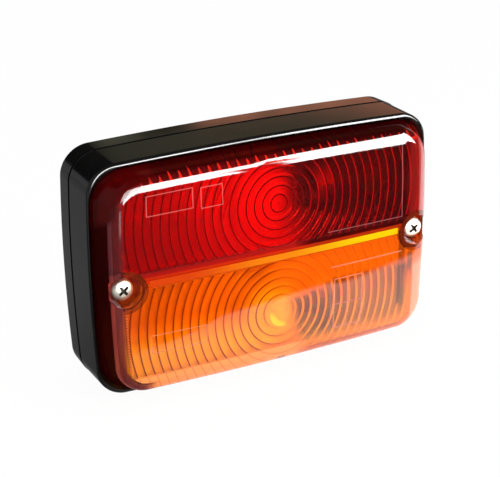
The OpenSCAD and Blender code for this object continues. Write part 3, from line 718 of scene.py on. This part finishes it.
def amber_layers(tree):
    """The outer side of the amber lens: a bright low band of painted light, beads of painted light and
    shade, painted shade in the screw pockets, and outlines.
    """
    x, z = lens_place(tree)
    inward = from_shoulder(x, z)
    out = 0 - x
    down = 0 - z
    over = Layers(tree, rgba(0.9, 0.13, 0.005))
    upper_right = span(tree, x, -5, 6) * span(tree, z - amber_floor(tree, x), -1.2, 1.2)
    over.add(upper_right, 0.3, rgba(0.9, 0.12, 0.004))
    # Painted light: a bright band low down, with ring lines through it.
    low = past(tree, down, 31.2, 1.6) * (1 - span(tree, x, 4, 14, 0.0, 0.65))
    rim_lines = ring_line(tree, x, z, -1, 0.4)
    over.add(low, 0.82, mix_colour(tree, rim_lines * 0.6, rgba(0.9, 0.3, 0.07), rgba(0.6, 0.13, 0.02)))
    notch = line(tree, x, 1.2, 2.8) * (1 - span(tree, z, -36.2, -35.4))
    over.add(notch, 0.75, rgba(0.16, 0.04, 0.03))
    # Beads of painted light and shade along the bottom edge.
    specks = line(tree, share(x, 1.2), 0.5, 0.6)
    beads = mix_colour(tree, specks, rgba(0.62, 0.18, 0.05), rgba(0.3, 0.09, 0.05))
    over.add(past(tree, down, 37.2, 0.3), 0.8, beads, 0.3)
    # A painted pale reflection along the right edge.
    over.add(past(tree, x, 52.6, 1.2) * (1 - span(tree, z, -14, -8)), 0.6, rgba(0.85, 0.4, 0.26))
    # Painted shade in a band near the right edge.
    shade = line(tree, x, 51.4, 2.2) * span(tree, z, -22, -12) * (1 - span(tree, z, -8.5, -6.5))
    over.add(shade, 0.75, rgba(0.1, 0.03, 0.01))
    # Painted shade in the screw pockets, with a painted dark line along their edge.
    around = radius_from(absolute(x), z, SCREW_X, 0)
    over.add(1 - past(tree, around, 7.2, 0.2), 0.6, rgba(0.16, 0.02, 0.005))
    over.add(line(tree, around, 7.3, 0.5), 0.6, rgba(0.06, 0.006, 0.002))
    # Beads of painted light and shade along the left edge.
    dots = line(tree, share(z, BEAD_PITCH), 0.5, 0.55)
    bead_colour = mix_colour(tree, dots, rgba(0.14, 0.02, 0.008), rgba(0.75, 0.16, 0.02))
    over.add(line(tree, out, 54.3, 0.75) * (1 - span(tree, z, -9, -7)), 0.75, bead_colour)
    # A painted yellow highlight in a crescent at the lower left of the rings' middle, with a painted
    # warm glow around it.
    across_boss = radius_from(x, z, RING_X, -RING_UP)
    lower_left = span(tree, (RING_X - RING_UP) - (x + z), 0.5, 4.5)
    over.add(line(tree, across_boss, 3.6, 2.6) * lower_left, 0.8, rgba(0.96, 0.55, 0.004))
    warm = (1 - span(tree, across_boss, 4.5, 9.0)) * (1 - span(tree, x, 1, 6))
    over.add(warm * (1 - line(tree, across_boss, 3.6, 2.6) * lower_left), 0.5, rgba(0.92, 0.33, 0.012))
    over.add(frame_line(tree, x, z, *AMBER_LEFT_BOX), 0.3, rgba(1.0, 0.5, 0.25))
    box = frame_line(tree, x, z, *AMBER_RIGHT_BOX, 0.4)
    cross = line(tree, x, AMBER_CROSS_X, 0.34) * (1 - span(tree, absolute(z + 20.4), 9.1, 9.3))
    level = line(tree, z, AMBER_CROSS_Z, 0.34) * (1 - span(tree, absolute(x - 26.3), 5.4, 5.6))
    cross = cross.math("MAXIMUM", cross, level)
    over.add(box.math("MAXIMUM", box, cross), 0.6, rgba(0.8, 0.28, 0.16))
    ends = span(tree, x, 19.2, 19.8) * (1 - span(tree, x, PANEL_RIGHT_X, PANEL_RIGHT_X + 0.6))
    over.add(line(tree, z, AMBER_PANEL_Z, 0.34) * ends, 0.6, rgba(0.8, 0.33, 0.22))
    side = line(tree, x, 19.4, 0.5) * (1 - span(tree, absolute(z + 21.0), 9.8, 10.2))
    over.add(side, 0.5, rgba(0.24, 0.17, 0.13))
    # A painted shadow line under the strip.
    shadow_under_strip = line(tree, z, 0.15, 0.4) * (1 - past(tree, absolute(x), STRIP_END, 0.6))
    over.add(shadow_under_strip, 0.6, rgba(0.3, 0.04, 0.003))
    add_left_edge_light_and_shade(over, tree, x, inward, rgba(0.13, 0.018, 0.017), rgba(0.3, 0.045, 0.04))
    add_strip_glow(over, tree, x, past(tree, z, 0.3, 0.15))
    return over


def amber_ridge_tint(tree):
    x, z = lens_place(tree)
    # Painted shade along the ring edges on the left, wider lower down.
    width = span(tree, z, -20, -13) * 0.5 + 0.35
    dark = ring_line(tree, x, z, -1, width) * (1 - span(tree, x, 4, 12))
    return mix_colour(tree, dark * 0.9, amber_tint(tree), rgba(0.1, 0.012, 0.001))


def amber_ridge_layers(tree):
    """The inner side of the amber lens, with painted light and shade: lit orange on the left, painted
    brown shade on the right, with ring lines.
    """
    x, z = lens_place(tree)
    over = Layers(tree, rgba(0.95, 0.3, 0.05))
    over.thick = 0.62
    # Painted light: paler low down, darker higher up.
    high = span(tree, z, -24, -12)
    over.colour = mix_colour(tree, high, rgba(0.92, 0.55, 0.15), rgba(0.5, 0.17, 0.05))
    lit_side = span(tree, x, -8, 4)
    over.add(lit_side, 0.75, rgba(0.85, 0.36, 0.03))
    glow = 1 - span(tree, radius_from(x, z, -2.0, -18.0), 4, 14)
    over.add(glow, 0.75, rgba(0.95, 0.62, 0.1))
    # Painted brown shade on the right, paler low down.
    shaded = 1 - span(tree, z - amber_floor(tree, x), -1.2, 1.2)
    brown = span(tree, x + z * 0.2, -1, 5) * shaded * (1 - span(tree, x, 50, 53))
    shade = mix_colour(tree, span(tree, x, 18, 30), rgba(0.14, 0.05, 0.015), rgba(0.3, 0.13, 0.05))
    shade = mix_colour(tree, 1 - span(tree, z, -35, -28), shade, rgba(0.6, 0.34, 0.15))
    over.add(brown, 0.75, shade)
    # Ring lines painted dark in the light and bright in the shade.
    rings = ring_line(tree, x, z, -1, 0.5)
    over.add(rings * (1 - brown) * (1 - lit_side * 0.6), 0.65, rgba(0.24, 0.06, 0.01))
    over.add(ring_line(tree, x, z, -1, 0.9) * brown, 0.8, rgba(0.98, 0.45, 0.1))
    # Painted shade low on the right.
    over.add(line(tree, x, 49.0, 2.6) * span(tree, z, -30, -26), 0.6, rgba(0.12, 0.04, 0.01))
    return over


RED_CLEAR = clear_look("clear_red", LENS_RED, RED_LIGHT, layers=red_layers)
RED_RIDGED = clear_look("ridged_red", red_ridge_tint, RED_LIGHT, 0.12, layers=red_ridge_layers)
AMBER_CLEAR = clear_look("clear_amber", amber_tint, AMBER_LIGHT, layers=amber_layers)
AMBER_RIDGED = clear_look(
    "ridged_amber", amber_ridge_tint, AMBER_LIGHT, 0.12, layers=amber_ridge_layers
)
AMBER_RIB = plastic_look("frosted_rib", rgba(1.0, 0.6, 0.08), rgba(1.0, 0.75, 0.16), 0.5)
PLATED = metal_look("plated_steel", rgba(0.6, 0.53, 0.42), rgba(0.8, 0.75, 0.65), 0.34)
# Near-black metal in the screws' cross recess, as painted shade.
RECESS_SHADE = metal_look("painted_recess_shade", rgba(0.03, 0.026, 0.02), rgba(0.07, 0.06, 0.05), 0.6)


def tray_look(name, far, mid, near, beyond):
    """Metallised tray with painted light and shade: painted dark at its far end and painted bright
    beside the bulb, graded from left to right.
    """
    material, tree = new_material(name)
    across, _, _ = coordinates(tree)
    x = across * 1000
    fine = noise(tree, 200.0, 2.0)
    colour = mix_colour(tree, span(tree, x, -54, -20), far, mid)
    colour = mix_colour(tree, span(tree, x, -20, -6), colour, near)
    colour = mix_colour(tree, span(tree, x, 5, 14), colour, beyond)
    shader = node(
        tree, "ShaderNodeBsdfPrincipled", {},
        Base_Color=colour,
        Roughness=0.3,
        Normal=bump(tree, fine, 0.1, 0.00002),
    )
    show(tree, shader)
    return material


# Both trays are one metallised plastic; their greys are painted light and shade, set apart for each
# chamber.
UPPER_TRAY = tray_look(
    "upper_tray", rgba(0.25, 0.25, 0.25), rgba(0.42, 0.42, 0.42), rgba(0.85, 0.85, 0.85),
    rgba(0.2, 0.2, 0.2),
)
LOWER_TRAY = tray_look(
    "lower_tray", rgba(0.55, 0.55, 0.55), rgba(0.7, 0.7, 0.7), rgba(0.92, 0.92, 0.92),
    rgba(0.6, 0.6, 0.6),
)
# Zinc darkened to near black on the sockets and bracket, as painted shade behind the right of the
# lens.
ZINC_DARKENED_AS_SHADE = metal_look("black_zinc", rgba(0.05, 0.05, 0.052), rgba(0.1, 0.1, 0.105), 0.4, 500.0)
BULB_GLASS = clear_look("bulb_glass", rgba(0.97, 0.98, 0.98), rgba(0.95, 0.95, 0.95))
NICKEL = metal_look("nickel_plate", rgba(0.6, 0.56, 0.48), rgba(0.76, 0.73, 0.66), 0.3)
WIRE = metal_look("drawn_wire", rgba(0.4, 0.4, 0.39), rgba(0.55, 0.55, 0.53), 0.35)
BLACK_GLASS = plastic_look(
    "fused_black_glass", rgba(0.02, 0.018, 0.018), rgba(0.05, 0.045, 0.045), 0.2
)
SOLDER = metal_look("solder", rgba(0.5, 0.5, 0.48), rgba(0.68, 0.68, 0.66), 0.45)
ZINC = metal_look("zinc_plate", rgba(0.5, 0.53, 0.56), rgba(0.7, 0.72, 0.74), 0.35, 500.0)
FIBRE = plastic_look(
    "pressed_fibre", rgba(0.2, 0.11, 0.05), rgba(0.36, 0.22, 0.11), 0.75, 1500.0, 0.00005, 0.5
)
BRASS = metal_look("turned_brass", rgba(0.6, 0.42, 0.14), rgba(0.8, 0.62, 0.28), 0.28)
SPRING = metal_look("spring_wire", rgba(0.35, 0.36, 0.37), rgba(0.52, 0.53, 0.54), 0.3)
CONNECTOR = plastic_look(
    "connector_plastic", rgba(0.62, 0.6, 0.54), rgba(0.74, 0.72, 0.66), 0.45
)
GREY_WIRE = plastic_look("grey_insulation", rgba(0.04, 0.04, 0.04), rgba(0.07, 0.07, 0.07), 0.5)
RED_WIRE = plastic_look("red_insulation", rgba(0.3, 0.02, 0.02), rgba(0.42, 0.04, 0.03), 0.5)
GREEN_WIRE = plastic_look("green_insulation", rgba(0.02, 0.16, 0.04), rgba(0.04, 0.25, 0.07), 0.5)
BROWN_WIRE = plastic_look("brown_insulation", rgba(0.1, 0.04, 0.02), rgba(0.16, 0.07, 0.03), 0.5)


# Camera at the photograph's viewing angle
forward = Vector((0.41847, 0.82535, -0.37905)).normalized()
level_right = forward.cross(Vector((0, 0, 1))).normalized()
level_up = level_right.cross(forward)
roll = math.radians(0.899)
right = math.cos(roll) * level_right - math.sin(roll) * level_up
up = math.sin(roll) * level_right + math.cos(roll) * level_up
turn = Matrix((right, up, -forward)).transposed()
bpy.ops.object.camera_add(
    location=(-192.911 * MM, -392.218 * MM, 174.987 * MM), rotation=turn.to_euler()
)
camera = bpy.context.object
camera.data.lens = 97.534
camera.data.sensor_width = 36.0
camera.data.sensor_fit = "HORIZONTAL"
bpy.context.scene.camera = camera
bpy.context.scene.view_settings.view_transform = "Standard"


# Rear moulding: back edge, floor, wall and locating lip
def make_rear_base():
    base = rounded_block("rear_moulding", HOUSING, CORNER, 0, BASE_DEPTH)
    edit(base)
    select_back(base, 0)
    draft = (1 - DRAFT / HOUSING[0], 1, 1 - DRAFT / HOUSING[1])
    bpy.ops.transform.resize(value=draft, center_override=(0, 0, 0))
    select_edges(base, lambda a, b: abs(a.y) < 0.01 and abs(b.y) < 0.01)
    bpy.ops.mesh.bevel(offset=0.8 * MM, segments=4, affect="EDGES")
    select_front(base, BASE_DEPTH)
    inset(LIP_IN)
    push(LIP_H)
    inset(LIP_T)
    push(-(BASE_DEPTH + LIP_H - FLOOR_T))
    leave_edit()
    for side in (-1, 1):
        for post in (
            rod("post", SCREW_POST_R, FLOOR_T - 0.2, SKIRT_FOOT + 1, side * SCREW_X),
            rod("boss", STUD_BOSS_R, FLOOR_T - 0.2, STUD_BOSS_TOP, side * STUD_X),
        ):
            combine(base, post, "UNION")
    for side in (-1, 1):
        for hole in (
            rod("screw_hole", 1.75, 7.0, 30.0, side * SCREW_X),
            rod("stud_hole", 2.93, -1, 8, side * STUD_X),
            rod("stud_recess", 4.9, -1, 0.8, side * STUD_X),
            rod("rivet_hole", 1.5, -1, 3, RIVET_X, side * RIVET_Z),
            rod("rivet_recess", 2.6, -1, 0.8, RIVET_X, side * RIVET_Z),
        ):
            combine(base, hole, "DIFFERENCE")
    combine(base, rod("bush_hole", 5.0, -1, 3.2, BUSH_X), "DIFFERENCE")
    combine(base, rod("bush_recess", 6.6, -1, 1.2, BUSH_X), "DIFFERENCE")
    return smooth(bow(base))


def make_body_seal():
    seal = rounded_block("seam_strip", SEAL, CORNER - 0.5, BASE_DEPTH, SEAM_TOP)
    edit(seal)
    select_front(seal, SEAM_TOP)
    inset(SEAL_W)
    bpy.ops.mesh.delete(type="FACE")
    select_back(seal, BASE_DEPTH)
    inset(SEAL_W)
    bpy.ops.mesh.delete(type="FACE")
    bridge_open_edges()
    leave_edit()
    return smooth(bow(seal))


def make_housing_frame():
    ring = rounded_block("front_moulding", FRAME, CORNER - 0.2, SEAM_TOP, RIM_TOP)
    edit(ring)
    select_front(ring, RIM_TOP)
    draft = (1 - DRAFT / FRAME[0], 1, 1 - DRAFT / FRAME[1])
    bpy.ops.transform.resize(value=draft, center_override=(0, 0, 0))
    select_edges(
        ring, lambda a, b: abs(a.y + RIM_TOP) < 0.01 and abs(b.y + RIM_TOP) < 0.01
    )
    bpy.ops.mesh.bevel(offset=1.1 * MM, segments=6, affect="EDGES")
    leave_edit()
    wall = 2.2
    lens_room = (SKIRT[0] + 0.2, SKIRT[1] + 0.2)
    open_room = (SKIRT[0] - 2 * LEDGE_W, SKIRT[1] - 2 * LEDGE_W)
    back_room = (FRAME[0] - 2 * wall, FRAME[1] - 2 * wall)
    ledge_back = LEDGE_TOP - LEDGE_T
    slope_foot = RIM_TOP - 0.9
    slope = 1.1
    lens_way = rounded_block("lens_room", lens_room, SKIRT_CORNER + 0.1, LEDGE_TOP, slope_foot)
    edit(lens_way)
    select_front(lens_way, slope_foot)
    push(slope, (1 + 2 * slope / lens_room[0], 1 + 2 * slope / lens_room[1]))
    push(6.0)
    leave_edit()
    for room in (
        lens_way,
        rounded_block("open_room", open_room, SKIRT_CORNER - LEDGE_W, 5, 30),
        rounded_block("back_room", back_room, CORNER - 0.2 - wall, 5, ledge_back),
    ):
        combine(ring, room, "DIFFERENCE")
    return smooth(bow(ring))


# Lens: outer body, hollow with ring grooves, then the two colours
def make_lens_body(polished):
    body = rounded_block("lens_body", SKIRT, SKIRT_CORNER, SKIRT_FOOT, SKIRT_FOOT + 1)
    body.data.materials.append(polished)
    edit(body)
    select_front(body, SKIRT_FOOT + 1)
    lean = (1 - 2 * SKIRT_LEAN[0] / SKIRT[0], 1 - 2 * SKIRT_LEAN[1] / SKIRT[1])
    push(SHOULDER_Z - SKIRT_FOOT - 1, lean)
    steps = 8
    for i in range(steps):
        a = math.pi / 2 * i / steps
        b = math.pi / 2 * (i + 1) / steps
        inset(
            SHOULDER_RUN * (math.cos(a) - math.cos(b)),
            SHOULDER_RISE * (math.sin(b) - math.sin(a)),
        )
    crown_steps = 8
    for i in range(crown_steps):
        a = i / crown_steps
        b = (i + 1) / crown_steps
        shrink = (1 - 0.93 * b) / (1 - 0.93 * a)
        push(CROWN * (b * (2 - b) - a * (2 - a)), (shrink, shrink))
    leave_edit()
    return body


def make_hollow(chamber, ridged):
    """The hollow of one chamber, with its front grooved by the rings' ridges."""
    size = (SKIRT[0] - 2 * LENS_WALL, SKIRT[1] - 2 * LENS_WALL)
    bend = SHOULDER_RISE / 2
    start = SKIRT_FOOT + 1
    hollow = rounded_block("hollow", size, SKIRT_CORNER - LENS_WALL, SKIRT_FOOT - 1, start)
    hollow.data.materials.append(ridged)
    edit(hollow)
    select_front(hollow, start)
    lean = (1 - 2 * SKIRT_LEAN[0] / size[0], 1 - 2 * SKIRT_LEAN[1] / size[1])
    push(INNER_FRONT_Z - bend - start, lean)
    inset(bend, bend)
    leave_edit()
    reach = 63.0
    drum = rod("rings", reach, 15, INNER_FRONT_Z, RING_X, chamber * RING_UP, 160)
    drum.data.materials.append(ridged)
    profile = []
    for i in range(20, 0, -1):
        r = i * RING_PITCH
        for t, rise in ((0.82, 0.45), (0.6, 0.88), (0.4, 1.0), (0.2, 0.8), (0.07, 0.5)):
            profile.append((r + RING_PITCH * t, -RING_H * rise))
        profile.append((r, 0.0))
    profile += [(2.4, 0.0), (2.2, -RING_H), (1.8, -RING_H - 0.2)]
    edit(drum)
    select_front(drum, INNER_FRONT_Z)
    at_r, at_z = reach, 0.0
    for r, z in profile:
        inset(at_r - r, z - at_z)
        at_r, at_z = r, z
    leave_edit()
    return combine(hollow, drum, "INTERSECT")


def make_lens_half(chamber, polished, ridged):
    half = make_lens_body(polished)
    half.name = "red_lens" if chamber > 0 else "amber_lens"
    half.data.name = half.name
    combine(half, make_hollow(chamber, ridged), "DIFFERENCE")
    if chamber > 0:
        cutter = block("below", (200, 60, 100), (0, 25, PARTING_UP + PARTING_GAP - 50))
        combine(half, cutter, "DIFFERENCE")
    else:
        cutter = block("above", (200, 60, 100), (0, 25, PARTING_UP + 50))
        combine(half, cutter, "DIFFERENCE")
    return half


def make_lenses():
    body = make_lens_body(AMBER_CLEAR)
    red = make_lens_half(1, RED_CLEAR, RED_RIDGED)
    amber = make_lens_half(-1, AMBER_CLEAR, AMBER_RIDGED)
    rib = block(
        "rib", (RIB[0], RIB[2] + 0.2, RIB[1]), (0, INNER_FRONT_Z + 0.1 - RIB[2] / 2, 0)
    )
    rib.data.materials.append(AMBER_RIB)
    combine(amber, rib, "UNION")
    for side in (-1, 1):
        tower = rod(
            "tower", POCKET_R + POCKET_WALL, POCKET_UNDER_Z, 40, side * SCREW_X, 0, 60
        )
        combine(amber, combine(copy_of(body, "part"), tower, "INTERSECT"), "UNION")
        foot = rod("foot", 3.4, SKIRT_FOOT + 1.05, POCKET_UNDER_Z + 0.2, side * SCREW_X)
        combine(amber, foot, "UNION")
        room = rod(
            "room", POCKET_R + POCKET_WALL + 0.05, POCKET_UNDER_Z - 0.05, 40,
            side * SCREW_X, 0, 60,
        )
        combine(red, room, "DIFFERENCE")
        combine(amber, rod("pocket", POCKET_R, POCKET_Z, 40, side * SCREW_X), "DIFFERENCE")
        combine(amber, rod("hole", 1.9, 20, 30, side * SCREW_X), "DIFFERENCE")
    bpy.data.objects.remove(body)
    for half in (red, amber):
        bow(half)
        smooth(half, 25, False)
    return red, amber


# Lens screw: domed head with a cross recess
def make_screw(side):
    r, h = SCREW_HEAD
    screw = rod("lens_screw", r, POCKET_Z, POCKET_Z + 0.4 * h, 0, 0, 48)
    screw.data.materials.append(PLATED)
    edit(screw)
    select_front(screw, POCKET_Z + 0.4 * h)
    steps = 6
    for i in range(steps):
        a = math.radians(75) * i / steps
        b = math.radians(75) * (i + 1) / steps
        inset(r * (math.cos(a) - math.cos(b)), 0.6 * h * (math.sin(b) - math.sin(a)))
    select_back(screw, POCKET_Z)
    inset(r - SHANK_R, 0)
    push(-SHANK_LENGTH)
    leave_edit()
    for angle in (0, 90):
        slot = block("slot", (4.5, 2.4, 1.0), (0, POCKET_Z + 0.2 * h + 1.2, 0))
        slot.data.materials.append(RECESS_SHADE)
        edit(slot)
        select_back(slot, POCKET_Z + 0.2 * h)
        bpy.ops.transform.resize(value=(0.6, 1, 0.75), center_override=(0, 0, 0))
        leave_edit()
        slot.rotation_euler = (0, math.radians(angle + 52), 0)
        place(slot)
        combine(screw, slot, "DIFFERENCE")
    make_active(screw)
    screw.location = (side * SCREW_X * MM, 0, 0)
    place(screw)
    return screw


def make_screws():
    left = make_screw(-1)
    right_one = make_screw(1)
    deselect_all()
    left.select_set(True)
    right_one.select_set(True)
    bpy.context.view_layer.objects.active = left
    bpy.ops.object.join()
    left.name = "cross_head_screws"
    return smooth(left, 30, False)


finish_piece(make_rear_base(), HOUSING_BLACK, "housing_black", "rear_base")
finish_piece(make_body_seal(), RUBBER, "seal_rubber", "body_seal")
finish_piece(make_housing_frame(), HOUSING_BLACK, "housing_black", "housing_frame")
red_lens, amber_lens = make_lenses()
finish_piece(red_lens, None, "red_lens", "lens_red")
finish_piece(amber_lens, None, "amber_lens", "lens_amber")
finish_piece(make_screws(), None, "plated_screws", "lens_screws")

NODE_LOOKS = {
    "rear_base": HOUSING_BLACK,
    "housing_frame": HOUSING_BLACK,
    "body_seal": RUBBER,
    "lens_seal": RUBBER,
    "cable_grommet": RUBBER,
    "lens_red": RED_CLEAR,
    "lens_amber": AMBER_CLEAR,
    "lens_screws": PLATED,
    "upper_reflector": UPPER_TRAY,
    "lower_reflector": LOWER_TRAY,
    "stop_bulb_glass": BULB_GLASS,
    "turn_bulb_glass": BULB_GLASS,
    "stop_bulb_cap": NICKEL,
    "turn_bulb_cap": NICKEL,
    "stop_bulb_filaments": WIRE,
    "turn_bulb_filament": WIRE,
    "stop_bulb_insulator": BLACK_GLASS,
    "turn_bulb_insulator": BLACK_GLASS,
    "stop_bulb_contacts": SOLDER,
    "turn_bulb_contact": SOLDER,
    "upper_socket": ZINC_DARKENED_AS_SHADE,
    "lower_socket": ZINC_DARKENED_AS_SHADE,
    "socket_bracket": ZINC_DARKENED_AS_SHADE,
    "bracket_rivets": ZINC,
    "mount_bolts": ZINC,
    "mount_washers": ZINC,
    "terminal_screws": ZINC,
    "upper_contact_disc": FIBRE,
    "lower_contact_disc": FIBRE,
    "upper_disc_contacts": BRASS,
    "lower_disc_contact": BRASS,
    "terminal_tubes": BRASS,
    "upper_socket_spring": SPRING,
    "lower_socket_spring": SPRING,
    "terminal_block": CONNECTOR,
    "tail_lead": GREY_WIRE,
    "stop_lead": RED_WIRE,
    "turn_lead": GREEN_WIRE,
    "earth_lead": BROWN_WIRE,
}
for cad_name, look in NODE_LOOKS.items():
    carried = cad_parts[cad_name]
    if carried.material_slots:
        for place_for in carried.material_slots:
            place_for.material = look
    else:
        carried.data.materials.append(look)


# Studio: white ground and backdrop, a dim room, soft lamps and the windows that the lens reflects
def make_ground():
    deselect_all()
    bpy.ops.mesh.primitive_plane_add(size=6.0, location=(0, 0, -42.0 * MM))
    ground = name_piece("ground")
    material, tree = new_material("pale_ground")
    matt = node(tree, "ShaderNodeBsdfDiffuse", {}, rgba(0.8, 0.8, 0.8))
    white = node(tree, "ShaderNodeEmission", {}, rgba(1, 1, 1), 1.0)
    across, deep, _ = coordinates(tree)
    near = span(tree, deep + across * 0.155, -0.0803, -0.0753)
    left = 1 - span(tree, across, -0.07, -0.02)
    behind = span(tree, deep, -0.02, 0.08)
    sheen = left * 0.5 + 0.02
    brighter = span(tree, across, -0.03, 0.08, 1.2, 2.8)
    close_by = ((1 - left) * brighter + 0.12) * (1 - behind) + behind * 0.22
    sheen = sheen * (1 - near) + near * close_by
    slope = across / (0 - deep)
    left_pane = span(tree, slope, -0.12, -0.08) * (1 - span(tree, slope, 0.39, 0.41))
    right_pane = span(tree, slope, 0.47, 0.5) * (1 - span(tree, slope, 0.74, 0.76))
    beyond = 1 - span(tree, deep, -0.345, -0.335)
    spot = span(tree, across, -0.09, -0.084) * (1 - span(tree, across, -0.058, -0.052))
    spot = spot * span(tree, deep, -0.26, -0.24) * (1 - span(tree, deep, -0.2, -0.178))
    sheen = sheen + beyond * (left_pane + right_pane) * 28 + spot * 4
    mirrored = node(tree, "ShaderNodeEmission", {}, sheen, 1.0)
    seen = node(tree, "ShaderNodeLightPath", out="Is Camera Ray")
    through = node(tree, "ShaderNodeLightPath", out="Is Transmission Ray")
    glossy = node(tree, "ShaderNodeLightPath", out="Is Glossy Ray")
    plain = node(
        tree, "ShaderNodeMixShader", {}, (seen + through) * 0.97, matt, white
    )
    show(tree, node(tree, "ShaderNodeMixShader", {}, glossy, plain, mirrored))
    ground.data.materials.append(material)


def make_world():
    world = bpy.data.worlds.new("studio")
    bpy.context.scene.world = world
    world.use_nodes = True
    tree = world.node_tree
    tree.nodes.clear()
    seen = node(tree, "ShaderNodeLightPath", out="Is Camera Ray")
    through = node(tree, "ShaderNodeLightPath", out="Is Transmission Ray")
    glossy = node(tree, "ShaderNodeLightPath", out="Is Glossy Ray")
    way = node(tree, "ShaderNodeTexCoord", out="Generated")
    x, y, z = [node(tree, "ShaderNodeSeparateXYZ", {}, way, out=i) for i in range(3)]
    backdrop = span(tree, y, -0.1, 0.3)
    side = 1 - span(tree, x, -0.6, 0.0)
    dim = mix_colour(tree, side, rgba(0.07, 0.07, 0.07), rgba(0.31, 0.31, 0.33))
    back = span(tree, y, 0.0, 0.2) * span(tree, z, 0.12, 0.17)
    black = rgba(0.008, 0.008, 0.006)
    dim = mix_colour(tree, back * span(tree, x, -0.65, -0.55), dim, black)
    dim = mix_colour(tree, back * span(tree, x, 0.303, 0.311), dim, rgba(0.15, 0.14, 0.09))
    low = 1 - span(tree, z, 0.272, 0.282)
    gap = span(tree, x, 0.343, 0.349) * (1 - span(tree, x, 0.38, 0.39))
    dim = mix_colour(tree, back * gap * low, dim, black)
    streak = span(tree, x, 0.304, 0.31) * (1 - span(tree, x, 0.325, 0.35))
    streak = streak * span(tree, z, 0.276, 0.282) * (1 - span(tree, z, 0.29, 0.3))
    dim = mix_colour(tree, back * streak, dim, rgba(0.5, 0.48, 0.34))
    cloud = node(tree, "ShaderNodeTexNoise", {}, Vector=way, Scale=45.0, Detail=3.0)
    warm = back * span(tree, x, 0.385, 0.4) * low
    dim = mix_colour(tree, warm * span(tree, cloud, 0.3, 0.6, 0.2, 1.0), dim, rgba(1.2, 0.45, 0.27))
    room = node(tree, "ShaderNodeBackground", {}, rgba(0.5, 0.5, 0.5), 1.0)
    mirrored = node(tree, "ShaderNodeBackground", {}, dim, 1.0)
    white = node(tree, "ShaderNodeBackground", {}, rgba(1, 1, 1), 1.0)
    mixed = node(tree, "ShaderNodeMixShader", {}, seen + through * backdrop, room, white)
    mixed = node(tree, "ShaderNodeMixShader", {}, glossy, mixed, mirrored)
    output = tree.nodes.new("ShaderNodeOutputWorld")
    tree.links.new(mixed.out, output.inputs["Surface"])


def soft_lamp(name, at, aim, size, power):
    """A rectangular soft lamp, placed and sized in metres."""
    direction = (Vector(aim) - Vector(at)).normalized()
    deselect_all()
    bpy.ops.object.light_add(
        type="AREA", location=at, rotation=direction.to_track_quat("-Z", "Y").to_euler()
    )
    lamp = bpy.context.object
    lamp.name = name
    lamp.data.shape = "RECTANGLE"
    lamp.data.size = size[0]
    lamp.data.size_y = size[1]
    lamp.data.energy = power
    lamp.visible_camera = False
    lamp.visible_glossy = False
    lamp.visible_transmission = False
    return lamp


def toward(turned, raised, distance=1.0):
    """A place seen from the lamp, turned right of straight ahead and raised, in degrees."""
    a = math.radians(turned)
    b = math.radians(raised)
    return Vector(
        (math.sin(a) * math.cos(b), -math.cos(a) * math.cos(b), math.sin(b))
    ) * distance


def window(name, corners, brightness):
    """A bright pane that only reflections see, given by its four corners in degrees."""
    deselect_all()
    bpy.ops.mesh.primitive_plane_add(size=1)
    pane = name_piece(name)
    for vertex, corner in zip(pane.data.vertices, corners):
        vertex.co = toward(*corner)
    material, tree = new_material(name)
    glow = node(tree, "ShaderNodeEmission", {}, rgba(1, 1, 1), brightness)
    show(tree, glow)
    pane.data.materials.append(material)
    pane.visible_camera = False
    pane.visible_diffuse = False
    pane.visible_transmission = False
    pane.visible_shadow = False
    return pane


make_ground()
make_world()
window("left_window", ((2.5, -17), (23.6, -17), (2.5, 13), (25.2, 11)), 30.0)
window("side_window", ((-14, -14), (2.5, -14), (-14, 17), (2.5, 17)), 20.0)
window("side_window_low", ((-13, -24), (2, -24), (-14, -14), (4, -14)), 12.0)
window("left_sill", ((9, -24), (17, -24), (9, -17), (23.6, -17)), 8.0)
window("right_window_low", ((33, -17), (52, -14), (24.4, 12), (52, 12)), 30.0)
window("right_window_high", ((24.4, 12), (52, 12), (26.5, 20), (52, 38)), 30.0)
window("right_window_foot", ((50.6, -25), (55, -25), (50.6, -14), (55, -14)), 12.0)
soft_lamp("key_box", (0.35, -0.7, 0.5), (0, 0, 0), (0.5, 0.4), 7.0)
soft_lamp("top_box", (0.0, -0.1, 0.8), (0, 0, 0), (0.5, 0.25), 3.0)
